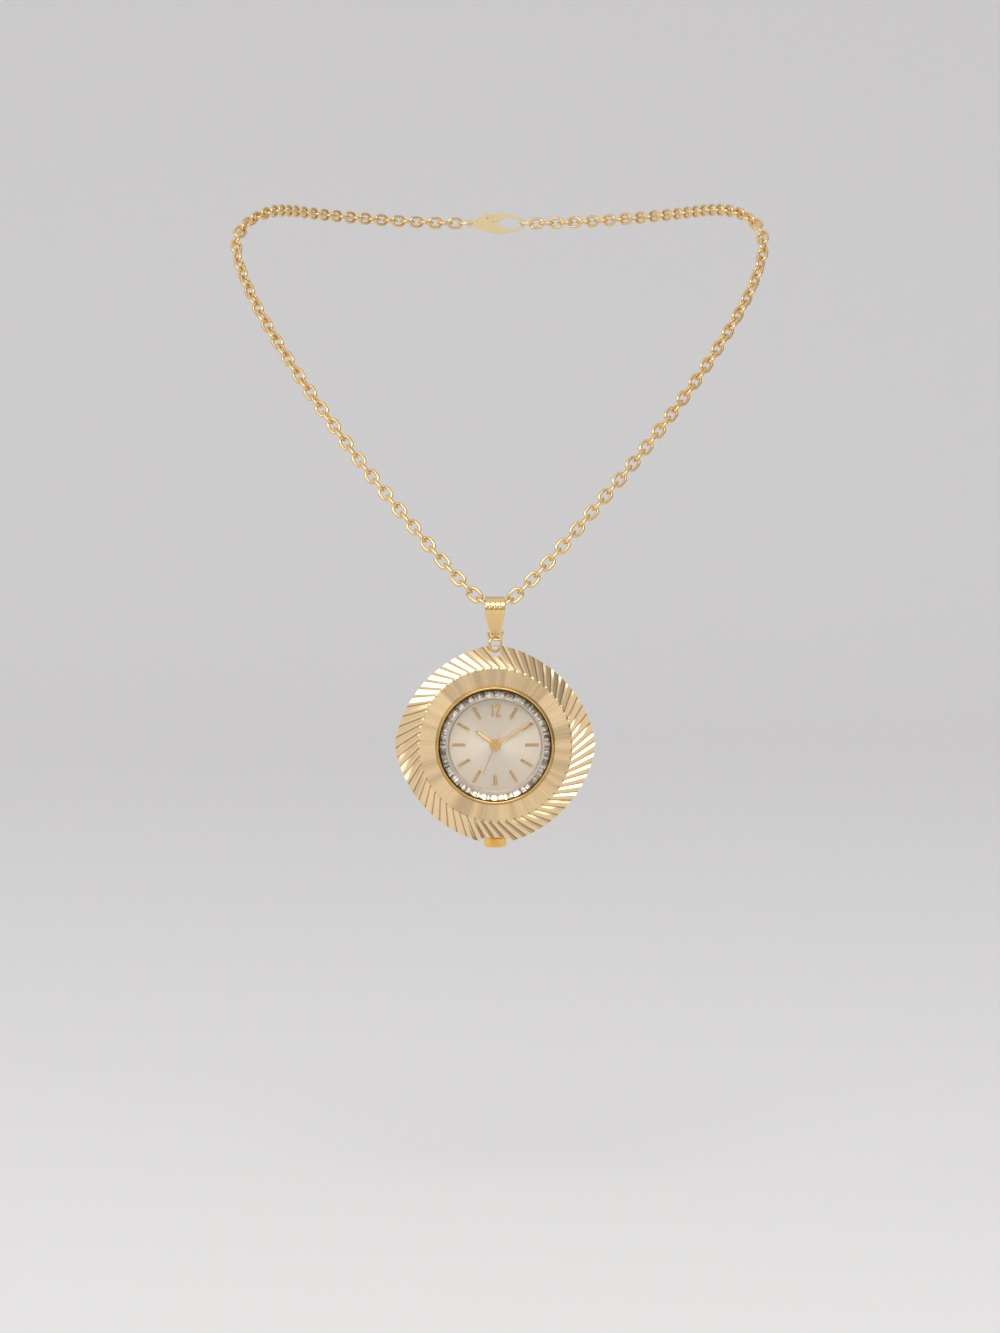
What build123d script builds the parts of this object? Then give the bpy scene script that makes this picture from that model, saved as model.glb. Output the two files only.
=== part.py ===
from build123d import *
import math
import os

# A pendant watch that hangs on a cable chain round a neck that is not part of it.
# Millimetres, +Z up, the dial faces -Y, the origin is the centre of the neck loop.
# The watch head is drawn in its own frame first: x right, y up, z towards the viewer,
# with the top of the dial at z = 0, and is then hung from the chain.

# Running clearances
FIT = 0.05
SEAT = 0.02
HANG = 0.04
OVERRUN = 1.0

# Frame of the head, whose outline is four shallow arcs between soft corners
FRAME_HALF = 20.0
FRAME_ARC_RADIUS = 23.9
FRAME_CORNER_FILLET = 0.8
FRAME_FRONT_INNER = 1.55
FRAME_BACK = -0.5
FLUTE_START_SHARE = 0.42
FLUTE_START_FRONT = 1.0
FRAME_EDGE_FRONT = 0.33
FRAME_EDGE_BACK = -0.15
FLUTE_COUNT = 60
FLUTE_TURN = 44.0
FLUTE_DEPTH = 0.42
FLUTE_HALF_WIDTH = 0.6
FLUTE_RISE = 0.06
NOTCH_FLOOR_HALF = 2.2
NOTCH_TIP_HALF = 4.3
NOTCH_DEEP = 1.45

# Hole in the top corner of the frame, and the rings that carry the head
HOLE_INSET = 1.36
HOLE_RADIUS = 1.06
HANG_DEPTH = 0.15
RING_MEAN_RADIUS = 1.45
RING_WIRE = 0.52
RING_TWIST = 37.0
RING_DROP = -0.04
LINK_WIRE = 0.5
LINK_TOP_HALF = 1.6
LINK_BOTTOM_HALF = 1.05
LINK_TALL = 1.69
LINK_TOP_FILLET = 0.4
LINK_BOTTOM_FILLET = 0.4
BAIL_LOOP_RADIUS = 2.0
BAIL_WALL = 0.52
BAIL_FOOT_RADIUS = 0.35
BAIL_TALL = 4.33
BAIL_TOP_HALF = 2.0
BAIL_SHOULDER = 0.9
BAIL_FOOT_HALF = 0.88
BAIL_FLUTES = 4
BAIL_FLUTE_DEPTH = 0.16
BAIL_FLUTE_HALF = 0.2

# Case, crystal and dial
CASE_RADIUS = 12.4
CASE_NECK_STEP = 0.55
CASE_WALL = 1.5
CASE_TOP = 1.65
CASE_END = -4.4
CASE_LEDGE = 1.25
BACK_OUTER = -5.2
BACK_PLUG_CLEAR = 0.1
BACK_PLUG_TOP = -4.0
BACK_STEP_INSET = 0.8
BACK_STEP = 0.3
GASKET_INSET = 0.15
GASKET_WIDE = 0.7
GASKET_TALL = 0.35
CRYSTAL_RING_WIDE = 0.9
CRYSTAL_TOP_INSET = 0.95
UPPER_FACET_SPREAD = 0.85
LOWER_FACET_SPREAD = 0.42
CRYSTAL_FLAT_INSET = 1.45
CRYSTAL_BOTTOM = 1.7
CRYSTAL_GIRDLE = 2.25
CRYSTAL_TOP = 3.1
CRYSTAL_FACETS = 32
CRYSTAL_RING_TOP = 2.4
CRYSTAL_RING_LIP = 0.25
REHAUT_FOOT_WIDE = 0.5
REHAUT_TOP_WIDE = 0.15
DIAL_THICK = 0.3
DIAL_HOLE = 0.7

# Markers and hands
MARKER_OUTER = 8.65
MARKER_INNER = 5.9
MARKER_WIDE = 0.55
MARKER_TALL = 0.2
SIX_OUTER = 8.2
SIX_WIDE = 0.34
SIX_GAP = 0.16
SIX_INNER = 5.8
NUMERAL_LOW = 5.65
NUMERAL_TALL = 2.6
NUMERAL_STROKE = 0.34
NUMERAL_WIDE = 1.05
NUMERAL_GAP = 0.4
HOUR_ANGLE = 305.5
MINUTE_ANGLE = 58.0
SECOND_ANGLE = 203.0
HOUR_LONG = 4.8
MINUTE_LONG = 8.65
SECOND_LONG = 7.0
SECOND_TAIL = 2.7
HOUR_WIDE = 0.6
MINUTE_WIDE = 0.5
SECOND_WIDE = 0.14
HOUR_LOW = 0.35
MINUTE_LOW = 0.65
SECOND_LOW = 0.95
HAND_THICK = 0.15
SECOND_THICK = 0.1
HUB_RADIUS = 1.15
MINUTE_HUB_RADIUS = 1.035
SECOND_HUB_RADIUS = 0.8
CAP_RADIUS = 0.35
CAP_TOP = 1.3

# Crown and stem
STEM_DEPTH = -2.2
STEM_RADIUS = 0.4
CROWN_RADIUS = 2.2
CROWN_SUNK = 1.25
CROWN_TALL = 1.85
CROWN_RIBS = 36
CROWN_RIB_DEPTH = 0.14
CROWN_CAVITY_RADIUS = 1.3
CROWN_CAVITY_DEEP = 1.3
TUBE_RADIUS = 0.9
TUBE_INTO_CROWN = 0.9
GASKET_RING_INSET = 0.3
GASKET_RING_TALL = 0.25
PULL = 0.6

# Movement
PLATE_RADIUS = 9.3
PLATE_FRONT = -0.9
PLATE_BACK = -1.7
PLATE_RIM = 8.9
BRIDGE_RADIUS = 9.0
BRIDGE_FRONT = -2.9
BRIDGE_BACK = -3.3
PILLAR_RADIUS = 0.6
PILLAR_REACH = 8.3
PILLAR_ANGLES = (22.0, 150.0, 240.0, 310.0)
SCREW_HEAD_RADIUS = 0.75
SCREW_HEAD_TALL = 0.25
SCREW_SLOT = 0.16
SPACER_END = -3.9
ARBOR = 0.12
ARBOR_HOLE = 0.17
ARBOR_FRONT = -1.2
ARBOR_BACK = -3.2

# Going train, tooth counts and modules
TRAIN_MODULE = 0.1
BARREL_MODULE = 0.12
FOURTH_PINION_MODULE = 0.1058824
HOUR_MODULE = 0.096
BARREL_TEETH = 60
CENTRE_PINION_TEETH = 10
CENTRE_TEETH = 64
THIRD_PINION_TEETH = 8
THIRD_TEETH = 60
FOURTH_PINION_TEETH = 8
FOURTH_TEETH = 70
ESCAPE_PINION_TEETH = 7
ESCAPE_TEETH = 15
CANNON_TEETH = 12
MINUTE_TEETH = 36
MINUTE_PINION_TEETH = 10
HOUR_TEETH = 40
WINDING_TEETH = 22
CROWN_WHEEL_TEETH = 52
RATCHET_TEETH = 55
BARREL_ANGLE = 200.0
THIRD_ANGLE = -10.0
ESCAPE_ANGLE = 50.0
MINUTE_WHEEL_ANGLE = -60.0

# Chain of oval links, and its route from the clasp down to the bail and back up
CHAIN_LINK_LONG = 3.75
CHAIN_LINK_WIDE = 2.7
CHAIN_WIRE = 0.66
CHAIN_PITCH = 2.35
BAIL_CHAIN_HEIGHT = -72.0
BAIL_CHAIN_FRONT = -54.0
NAPE_HALF_GAP = 7.0
ROUTE = (
    (-7.0, 58.2, 9.0), (-13.4, 56.4, 9.0), (-23.0, 50.6, 9.2), (-31.5, 43.0, 9.5),
    (-38.5, 33.0, 9.7), (-43.0, 22.0, 9.8), (-45.6, 12.0, 9.6), (-48.2, 3.4, 8.8),
    (-52.0, -4.0, 6.6), (-54.4, -9.4, 2.6), (-53.7, -12.8, -2.0), (-51.2, -17.2, -8.2),
    (-47.5, -21.8, -15.0), (-42.9, -26.6, -22.2), (-37.8, -31.4, -29.6), (-32.2, -36.3, -37.2),
    (-26.3, -41.0, -44.8), (-20.1, -45.3, -52.2), (-13.9, -49.1, -59.4), (-8.4, -52.0, -65.6),
    (-4.4, -53.6, -69.6), (-1.4, -54.0, -72.0), (1.4, -54.0, -72.0), (4.5, -53.6, -69.6),
    (8.8, -52.0, -65.4), (14.4, -49.1, -59.2), (20.7, -45.3, -52.0), (27.2, -41.0, -44.7),
    (33.4, -36.3, -37.1), (39.3, -31.4, -29.5), (44.7, -26.6, -22.0), (49.5, -21.8, -14.6),
    (53.4, -17.2, -7.6), (55.9, -12.6, -0.8), (55.9, -8.6, 4.2), (53.2, -3.2, 7.6),
    (49.4, 4.0, 9.2), (46.4, 12.6, 9.7), (43.4, 22.0, 9.8), (38.8, 33.0, 9.7),
    (31.7, 43.0, 9.5), (23.0, 50.6, 9.2), (13.4, 56.4, 9.0), (7.0, 58.2, 9.0),
)

# Share of the pitch that a tooth takes at its root and at its tip, each side of its middle
ROOT_SHARE = 0.27
TIP_SHARE = 0.11
ADDENDUM_SHARE = 0.85
DEDENDUM_SHARE = 1.15

# Shares of a wheel's pitch radius
SPOKE_SHARE = 0.09
RIM_SHARE = 0.84
HUB_SHARE = 0.22

# Places along the stem
PINION_Y = (-8.2, -7.3)
CLUTCH_Y = (-7.1, -6.1)
CLUTCH_MOVE = 0.4
GROOVE_MIDDLE = -4.45
GROOVE_WIDE = 0.6
GROOVE_RADIUS = 0.18
STEM_END = -3.9
BEARING_Y = (-9.2, -8.4)
BEARING_HALF = 0.85
BEARING_END = -2.85
WINDOW_HALF = 1.25
WINDOW_MARGIN = 0.1
CLUTCH_TEETH = 18

# Setting lever, which follows the groove of the stem
LEVER_PIVOT = (1.6, -4.75)
LEVER_ARM = 1.3
LEVER_NOSE = 0.12
LEVER_WIDE = 0.2
LEVER_HUB = 0.42
LEVER_PIN = 0.2
LEVER_LOW = -2.35
LEVER_HIGH = -2.05

# Share of a marker's width or height that its upper edges lose
MARKER_BEVEL_SHARE = 0.3

# Share of a hand's length where its blade starts to narrow
BLADE_SHARE = 0.3

# Nested arbors at the centre, from the inside out
SECOND_ARBOR = 0.1
CENTRE_TUBE_INNER = 0.15
CENTRE_TUBE_OUTER = 0.28
CANNON_INNER = 0.3
CANNON_OUTER = 0.42
HOUR_TUBE_INNER = 0.47
HOUR_TUBE_OUTER = 0.6

# Movement pieces carried by the main plate
PALLET_REACH = 5.21
PALLET_ANGLE = 68.7
BALANCE_REACH = 6.11
BALANCE_ANGLE = 75.0
BALANCE_SPOKE_ANGLE = 30.0
BRIDGE_RECESS_SHARE = 0.9
BALANCE_RADIUS = 2.5
BALANCE_RIM = 0.28
BALANCE_LOW = -2.65
BALANCE_HIGH = -2.45
COCK_FOOT_AT = (5.3, 6.3)
COCK_FOOT_RADIUS = 0.8
COCK_END_RADIUS = 0.6
COCK_FRONT = -3.35
COCK_BACK = -3.7
BARREL_ARBOR = 0.3
MINUTE_POST = 0.15
SCREW_SHANK = 0.3
SCREW_REACH = 0.8
SCREW_SLOT_STEP = 40.0

# Barrel: a toothed drum with a lid, its spring and its arbor
BARREL_TOP = -1.75
BARREL_TOOTH_LOW = -1.95
BARREL_LID = -2.25
BARREL_END = -2.35
DRUM_RADIUS = 3.35
DRUM_BORE = 3.1
SPRING_START = 0.5
SPRING_PITCH = 0.3
SPRING_HALF_TURNS = 15
SPRING_THICK = 0.1

# Winding wheels on the bridge
WINDING_LOW = -3.7
WINDING_HIGH = -3.4
RATCHET_HEAD_LOW = -3.9
CORE_RADIUS = 0.45
CORE_HEAD = 0.9
CORE_GAP = 0.03
CORE_SLOT_ANGLE = 75.0
RATCHET_HEAD = 0.72
RATCHET_SLOT_ANGLE = 30.0
RATCHET_BORE = 0.2

# Click, which rests on the ratchet wheel, and its spring
CLICK_REACH = 3.5
CLICK_ANGLE = 250.0
CLICK_PIN = 0.15
CLICK_HUB = 0.4
CLICK_WIDE = 0.26
CLICK_LOW = -3.65
CLICK_HIGH = -3.4
CLICK_TIP_REACH = 3.08
CLICK_TIP_ANGLE = 263.0
SPRING_POST_REACH = 3.65
SPRING_POST_ANGLE = 203.0
SPRING_TOUCH_ANGLE = 150.0
SPRING_POST = 0.3
CLICK_SPRING_WIDE = 0.12

# Heights of the going train
CENTRE_LOW = -2.52
CENTRE_HIGH = -2.42
CENTRE_TUBE_TOP = 0.6
THIRD_PINION_LOW = -2.55
THIRD_PINION_HIGH = -2.35
THIRD_LOW = -2.68
THIRD_HIGH = -2.58
FOURTH_LOW = -2.84
FOURTH_HIGH = -2.74
FOURTH_PINION_LOW = -2.7
FOURTH_PINION_HIGH = -2.56
ESCAPE_PINION_LOW = -2.86
ESCAPE_PINION_HIGH = -2.72
ESCAPE_LOW = -2.35
ESCAPE_HIGH = -2.2
CANNON_LOW = -0.87
CANNON_HIGH = -0.62
MINUTE_WHEEL_HIGH = -0.72
HOUR_WHEEL_LOW = -0.58
HOUR_WHEEL_HIGH = -0.43

# Escapement
ESCAPE_ROOT = 0.95
ESCAPE_TIP = 1.3
HOOK_TURN = 7.0
HOOK_FLAT = 2.0
HOOK_BACK = 11.0
PALLET_SPAN = 33.0
PALLET_GAP = 0.12
PALLET_WIDE = 0.22
FORK_WIDE = 0.14
FORK_LONG = 0.84
PALLET_ARBOR = 0.1
STONE = 0.13

# Balance and its spring
HAIRSPRING_START = 0.3
HAIRSPRING_PITCH = 0.22
HAIRSPRING_HALF_TURNS = 10
HAIRSPRING_THICK = 0.06
HAIRSPRING_LOW = -3.0
HAIRSPRING_HIGH = -2.85
COLLET = 0.24
ROLLER = 0.28
ROLLER_LOW = -2.42
ROLLER_HIGH = -2.38
PIN_REACH = 0.2
PIN_RADIUS = 0.04
STAFF_BACK = -3.45
STUD = 0.12

# Steps from one control point of the chain's route to the next
ROUTE_STEPS = 40

# Shares of the way from the bail to the clasp, and the turn of the links' faces there
TURN_STOPS_SHARES = ((0.0, 0.0), (0.2, 0.0), (0.5, 45.0), (0.66, 90.0), (0.85, 180.0), (1.0, 180.0))

# Share of the way from the bail to the clasp where the front nodes end
CHAIN_SPLIT_SHARE = 0.56

# Clasp, which lies at the nape between two rings with its hook to the right
CLASP_THICK = 2.0
END_RING_RADIUS = 1.45
END_RING_WIRE = 0.55
TRIGGER_PIN_RADIUS = 0.3
CLASP_EYE_RADIUS = 0.95
CLASP_EYE_BORE = 0.52
CLASP_EYE_THICK = 0.8
HOOK_END_THICK = 0.9
HOOK_WALL = 0.9
CLASP_HALF_TALL = 2.3
CLASP_OPEN_HALF = 1.25
CLASP_OPEN_LONG = 5.4
TRIGGER_PIN_AT = (-1.9, 1.15)
TRIGGER_THICK = 1.0
TRIGGER_FLOOR = 0.45
TRIGGER_CLEAR = 0.1
TRIGGER_MARGIN = 0.06
TRIGGER_SWING = 13.0
TRIGGER_STEPS = 4
TRIGGER_LEFT = -2.8
TRIGGER_RIGHT = 3.3
TRIGGER_KNOB = 0.6
TRIGGER_KNOB_AT = (-2.2, 2.1)
CHEEK_RIGHT = -0.9
LEAF_THICK = 0.1
LEAF_START = (-2.5, -0.3)
LEAF_END = (-1.05, 0.33)

# Places that follow from the sizes above
CASE_NECK_RADIUS = CASE_RADIUS - CASE_NECK_STEP
CASE_BORE = CASE_RADIUS - CASE_WALL
DIAL_BORE = CASE_BORE - CASE_LEDGE
DIAL_RADIUS = DIAL_BORE - FIT
BACK_PLUG_RADIUS = CASE_BORE - BACK_PLUG_CLEAR
BACK_STEP_RADIUS = CASE_RADIUS - BACK_STEP_INSET
GASKET_INNER = CASE_BORE + GASKET_INSET
GASKET_OUTER = GASKET_INNER + GASKET_WIDE
CRYSTAL_RADIUS = CASE_NECK_RADIUS - CRYSTAL_RING_WIDE
CRYSTAL_TOP_RADIUS = CRYSTAL_RADIUS - CRYSTAL_TOP_INSET
CRYSTAL_FLAT_RADIUS = CRYSTAL_RADIUS - CRYSTAL_FLAT_INSET
REHAUT_INNER = DIAL_RADIUS - REHAUT_FOOT_WIDE
REHAUT_TOP_INNER = DIAL_RADIUS - REHAUT_TOP_WIDE
FRAME_BORE = CASE_NECK_RADIUS + FIT
FLUTE_START_RADIUS = FRAME_BORE + FLUTE_START_SHARE * (FRAME_HALF - FRAME_BORE)
HOLE_HEIGHT = FRAME_HALF - HOLE_INSET
NOTCH_TOP = NOTCH_DEEP - FRAME_HALF
CROWN_TOP = CROWN_SUNK - FRAME_HALF
TUBE_ROOT = -CASE_BORE - FIT
RING_CENTRE = HOLE_HEIGHT + RING_DROP + RING_MEAN_RADIUS
LINK_FOOT = RING_CENTRE + RING_MEAN_RADIUS - (RING_WIRE + LINK_WIRE) / 2 - HANG
LINK_HEAD = LINK_FOOT + LINK_TALL
BAIL_FOOT = LINK_HEAD + BAIL_FOOT_RADIUS - LINK_WIRE / 2 - HANG
BAIL_PIVOT = BAIL_FOOT + BAIL_TALL
CHAIN_ABOVE_HEAD = BAIL_PIVOT + BAIL_LOOP_RADIUS - CHAIN_LINK_WIDE / 2 - HANG
HEAD_HEIGHT = BAIL_CHAIN_HEIGHT - CHAIN_ABOVE_HEAD
HEAD_DEPTH = BAIL_CHAIN_FRONT + HANG_DEPTH
BARREL_REACH = BARREL_MODULE * (BARREL_TEETH + CENTRE_PINION_TEETH) / 2
THIRD_REACH = TRAIN_MODULE * (CENTRE_TEETH + THIRD_PINION_TEETH) / 2
ESCAPE_REACH = TRAIN_MODULE * (FOURTH_TEETH + ESCAPE_PINION_TEETH) / 2
MINUTE_REACH = TRAIN_MODULE * (CANNON_TEETH + MINUTE_TEETH) / 2


def polar(reach, angle, centre=(0.0, 0.0)):
    turn = math.radians(angle)
    return (centre[0] + reach * math.cos(turn), centre[1] + reach * math.sin(turn))

BARREL_AT = polar(BARREL_REACH, BARREL_ANGLE)
THIRD_AT = polar(THIRD_REACH, THIRD_ANGLE)
ESCAPE_AT = polar(ESCAPE_REACH, ESCAPE_ANGLE)
MINUTE_WHEEL_AT = polar(MINUTE_REACH, MINUTE_WHEEL_ANGLE)
PALLET_AT = polar(PALLET_REACH, PALLET_ANGLE)
BALANCE_AT = polar(BALANCE_REACH, BALANCE_ANGLE)
CLICK_AT = polar(CLICK_REACH, CLICK_ANGLE, BARREL_AT)
CLICK_TIP = polar(CLICK_TIP_REACH, CLICK_TIP_ANGLE, BARREL_AT)
SPRING_POST_AT = polar(SPRING_POST_REACH, SPRING_POST_ANGLE, BARREL_AT)


def disc(radius, low, high, at=(0.0, 0.0)):
    return Pos(at[0], at[1], low) * extrude(Circle(radius), amount=high - low)


def ring(outer, inner, low, high, at=(0.0, 0.0)):
    return Pos(at[0], at[1], low) * extrude(Circle(outer) - Circle(inner), amount=high - low)


def block(x0, x1, y0, y1, low, high):
    middle = ((x0 + x1) / 2, (y0 + y1) / 2)
    return Pos(middle[0], middle[1], low) * extrude(Rectangle(x1 - x0, y1 - y0), amount=high - low)


def turned(points):
    profile = Plane.XZ * make_face(Polyline(*points, close=True))
    return revolve(profile, Axis.Z)


def rod(radius, y0, y1, depth):
    shape = Plane.XZ * Circle(radius)
    return Pos(0, y0, depth) * extrude(shape, amount=y1 - y0, dir=(0, 1, 0))


def bar(width, start, end, low, high):
    length = math.dist(start, end)
    turn = math.degrees(math.atan2(end[1] - start[1], end[0] - start[0]))
    middle = ((start[0] + end[0]) / 2, (start[1] + end[1]) / 2)
    return Pos(middle[0], middle[1], low) * Rot(0, 0, turn) * extrude(Rectangle(length, width), amount=high - low)


def tooth_outline(teeth, module, phase):
    pitch_radius = module * teeth / 2
    root = pitch_radius - DEDENDUM_SHARE * module
    tip = pitch_radius + ADDENDUM_SHARE * module
    step = 360.0 / teeth
    points = []
    for index in range(teeth):
        middle = phase + index * step
        points.append(polar(root, middle - ROOT_SHARE * step))
        points.append(polar(tip, middle - TIP_SHARE * step))
        points.append(polar(tip, middle + TIP_SHARE * step))
        points.append(polar(root, middle + ROOT_SHARE * step))
    return make_face(Polyline(*points, close=True))


def mesh_phase(phase, teeth, other_teeth, angle):
    """Phase of the gear that meets the first one in the direction of the angle."""
    share = ((angle - phase) / (360.0 / teeth)) % 1.0
    return angle + 180.0 + (share - 0.5) * 360.0 / other_teeth


def gear(teeth, module, low, high, at, phase=0.0, bore=0.0, spokes=0):
    face = tooth_outline(teeth, module, phase)
    pitch_radius = module * teeth / 2
    if spokes:
        rim = pitch_radius * RIM_SHARE
        face = face - Circle(rim) + Circle(max(pitch_radius * HUB_SHARE, bore * 2))
        for index in range(spokes):
            spoke = Rectangle(rim + module, pitch_radius * SPOKE_SHARE, align=(Align.MIN, Align.CENTER))
            face = face + Rot(0, 0, index * 360.0 / spokes) * spoke
    if bore:
        face = face - Circle(bore)
    return Pos(at[0], at[1], low) * extrude(face, amount=high - low)


def spiral_ribbon(start, pitch, half_turns, thick, low, high, at):
    """A flat spiral strip of half circles, whose centre steps from side to side."""
    def side(offset):
        edges = []
        for index in range(half_turns):
            centre = 0.0 if index % 2 == 0 else pitch / 2
            sign = 1 if index % 2 == 0 else -1
            radius = start + index * pitch / 2 + offset
            first = (centre + sign * radius, 0.0)
            last = (centre - sign * radius, 0.0)
            middle = (centre, sign * radius)
            edges.append(ThreePointArc(first, middle, last))
        return edges
    outer = side(thick / 2)
    inner = side(-thick / 2)
    caps = [Line(outer[0] @ 0, inner[0] @ 0), Line(outer[-1] @ 1, inner[-1] @ 1)]
    face = make_face(outer + inner + caps)
    return Pos(at[0], at[1], low) * extrude(face, amount=high - low)


def frame_outline():
    diagonal = FRAME_HALF / math.sqrt(2)
    sag = FRAME_ARC_RADIUS - math.sqrt(FRAME_ARC_RADIUS ** 2 - diagonal ** 2)
    corners = [polar(FRAME_HALF, 90.0 * index) for index in range(4)]
    arcs = []
    for index in range(4):
        middle = polar(diagonal + sag, 90.0 * index + 45.0)
        arcs.append(ThreePointArc(corners[index], middle, corners[(index + 1) % 4]))
    face = make_face(arcs)
    return fillet(face.vertices(), FRAME_CORNER_FILLET)


def flute_cutter(index):
    """A V groove that starts on the surface at its inner end and deepens outwards."""
    angle = index * 360.0 / FLUTE_COUNT
    start = polar(FLUTE_START_RADIUS, angle)
    reach = FRAME_HALF + OVERRUN
    heading = math.radians(angle + FLUTE_TURN)
    along = math.cos(math.radians(FLUTE_TURN)) * FLUTE_START_RADIUS
    length = math.sqrt(reach ** 2 - FLUTE_START_RADIUS ** 2 + along ** 2) - along
    fall = (FLUTE_START_FRONT - FRAME_EDGE_FRONT) * (reach - FLUTE_START_RADIUS) / (
        FRAME_HALF - FLUTE_START_RADIUS)
    direction = Vector(math.cos(heading) * length, math.sin(heading) * length, -fall)
    across = Vector(-math.sin(heading), math.cos(heading), 0)
    inner = Vector(start[0], start[1], FLUTE_START_FRONT)
    outer = inner + direction
    up = Vector(0, 0, 1)
    inner_face = Face(Wire.make_polygon([
        inner + across * FLUTE_RISE + up * FLUTE_RISE, inner - across * FLUTE_RISE + up * FLUTE_RISE,
        inner - up * FLUTE_RISE]))
    outer_face = Face(Wire.make_polygon([
        outer + across * FLUTE_HALF_WIDTH + up * FLUTE_RISE,
        outer - across * FLUTE_HALF_WIDTH + up * FLUTE_RISE,
        outer - up * FLUTE_DEPTH]))
    return Solid.make_loft([inner_face.outer_wire(), outer_face.outer_wire()], True)


def make_bezel_frame():
    reach = FRAME_HALF + OVERRUN
    slope = (FLUTE_START_FRONT - FRAME_EDGE_FRONT) / (FRAME_HALF - FLUTE_START_RADIUS)
    back_slope = (FRAME_EDGE_BACK - FRAME_BACK) / (FRAME_HALF - FLUTE_START_RADIUS)
    profile = (
        (FRAME_BORE, FRAME_BACK), (FLUTE_START_RADIUS, FRAME_BACK),
        (reach, FRAME_BACK + back_slope * (reach - FLUTE_START_RADIUS)),
        (reach, FLUTE_START_FRONT - slope * (reach - FLUTE_START_RADIUS)),
        (FLUTE_START_RADIUS, FLUTE_START_FRONT), (FRAME_BORE, FRAME_FRONT_INNER),
    )
    body = turned(profile)
    body = body - [flute_cutter(index) for index in range(FLUTE_COUNT)]
    plate = Pos(0, 0, FRAME_BACK - OVERRUN) * extrude(
        frame_outline(), amount=FRAME_FRONT_INNER - FRAME_BACK + 2 * OVERRUN)
    body = body & plate
    body = body - disc(HOLE_RADIUS, FRAME_BACK - OVERRUN, FRAME_FRONT_INNER, (0, HOLE_HEIGHT))
    notch = make_face(Polyline(
        (-NOTCH_TIP_HALF, -reach), (NOTCH_TIP_HALF, -reach), (NOTCH_TIP_HALF, -FRAME_HALF),
        (NOTCH_FLOOR_HALF, NOTCH_TOP), (-NOTCH_FLOOR_HALF, NOTCH_TOP), (-NOTCH_TIP_HALF, -FRAME_HALF),
        close=True))
    back = FRAME_BACK - OVERRUN
    return body - Pos(0, 0, back) * extrude(notch, amount=FRAME_FRONT_INNER - back)

CRYSTAL_RING_OUTER = CASE_NECK_RADIUS


def make_crystal_ring():
    inner = CRYSTAL_RADIUS + SEAT
    return turned((
        (inner, CASE_TOP + SEAT), (CRYSTAL_RING_OUTER, CASE_TOP + SEAT),
        (CRYSTAL_RING_OUTER, CRYSTAL_RING_TOP - CRYSTAL_RING_LIP),
        (CRYSTAL_RING_OUTER - CRYSTAL_RING_LIP, CRYSTAL_RING_TOP), (inner, CRYSTAL_RING_TOP),
    ))


def facet_frustum(low_radius, high_radius, turn):
    """Flat facets that rise from the girdle to the top."""
    bottom = Pos(0, 0, CRYSTAL_GIRDLE) * Rot(0, 0, turn) * RegularPolygon(low_radius, CRYSTAL_FACETS)
    top = Pos(0, 0, CRYSTAL_TOP) * Rot(0, 0, turn) * RegularPolygon(high_radius, CRYSTAL_FACETS)
    return loft([bottom, top], ruled=True)


def make_crystal():
    half = 180.0 / CRYSTAL_FACETS
    upper = facet_frustum(CRYSTAL_RADIUS + UPPER_FACET_SPREAD, CRYSTAL_FLAT_RADIUS, 0.0)
    lower = facet_frustum(CRYSTAL_RADIUS + LOWER_FACET_SPREAD, CRYSTAL_TOP_RADIUS, half)
    girdle = disc(CRYSTAL_RADIUS, CRYSTAL_BOTTOM, CRYSTAL_GIRDLE)
    return girdle + (disc(CRYSTAL_RADIUS, CRYSTAL_GIRDLE, CRYSTAL_TOP) & upper & lower)


def make_rehaut():
    return turned((
        (REHAUT_INNER, 0), (DIAL_RADIUS, 0), (DIAL_RADIUS, CASE_TOP), (REHAUT_TOP_INNER, CASE_TOP),
    ))


def make_case_body():
    body = turned((
        (CASE_BORE, CASE_END), (CASE_RADIUS, CASE_END), (CASE_RADIUS, FRAME_BACK),
        (CASE_NECK_RADIUS, FRAME_BACK), (CASE_NECK_RADIUS, CASE_TOP), (DIAL_BORE, CASE_TOP),
        (DIAL_BORE, -DIAL_THICK), (CASE_BORE, -DIAL_THICK),
    ))
    body = body - ring(GASKET_OUTER, GASKET_INNER, CASE_END, CASE_END + GASKET_TALL)
    body = body - rod(TUBE_RADIUS, -CASE_RADIUS - OVERRUN, TUBE_ROOT, STEM_DEPTH)
    return body - rod(STEM_BORE, TUBE_ROOT - OVERRUN, TUBE_ROOT + OVERRUN, STEM_DEPTH)


def make_case_back():
    plug = disc(BACK_PLUG_RADIUS, CASE_END, BACK_PLUG_TOP)
    flange = disc(CASE_RADIUS, BACK_OUTER + BACK_STEP, CASE_END)
    return plug + flange + disc(BACK_STEP_RADIUS, BACK_OUTER, BACK_OUTER + BACK_STEP)


def make_gasket():
    return ring(GASKET_OUTER - SEAT, GASKET_INNER + SEAT, CASE_END, CASE_END + GASKET_TALL - SEAT)

TUBE_END = CROWN_TOP - TUBE_INTO_CROWN
STEM_BORE = STEM_RADIUS + FIT


def make_crown_tube():
    tube = rod(TUBE_RADIUS, TUBE_END, TUBE_ROOT, STEM_DEPTH)
    return tube - rod(STEM_BORE, TUBE_END - OVERRUN, TUBE_ROOT + OVERRUN, STEM_DEPTH)


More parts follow.
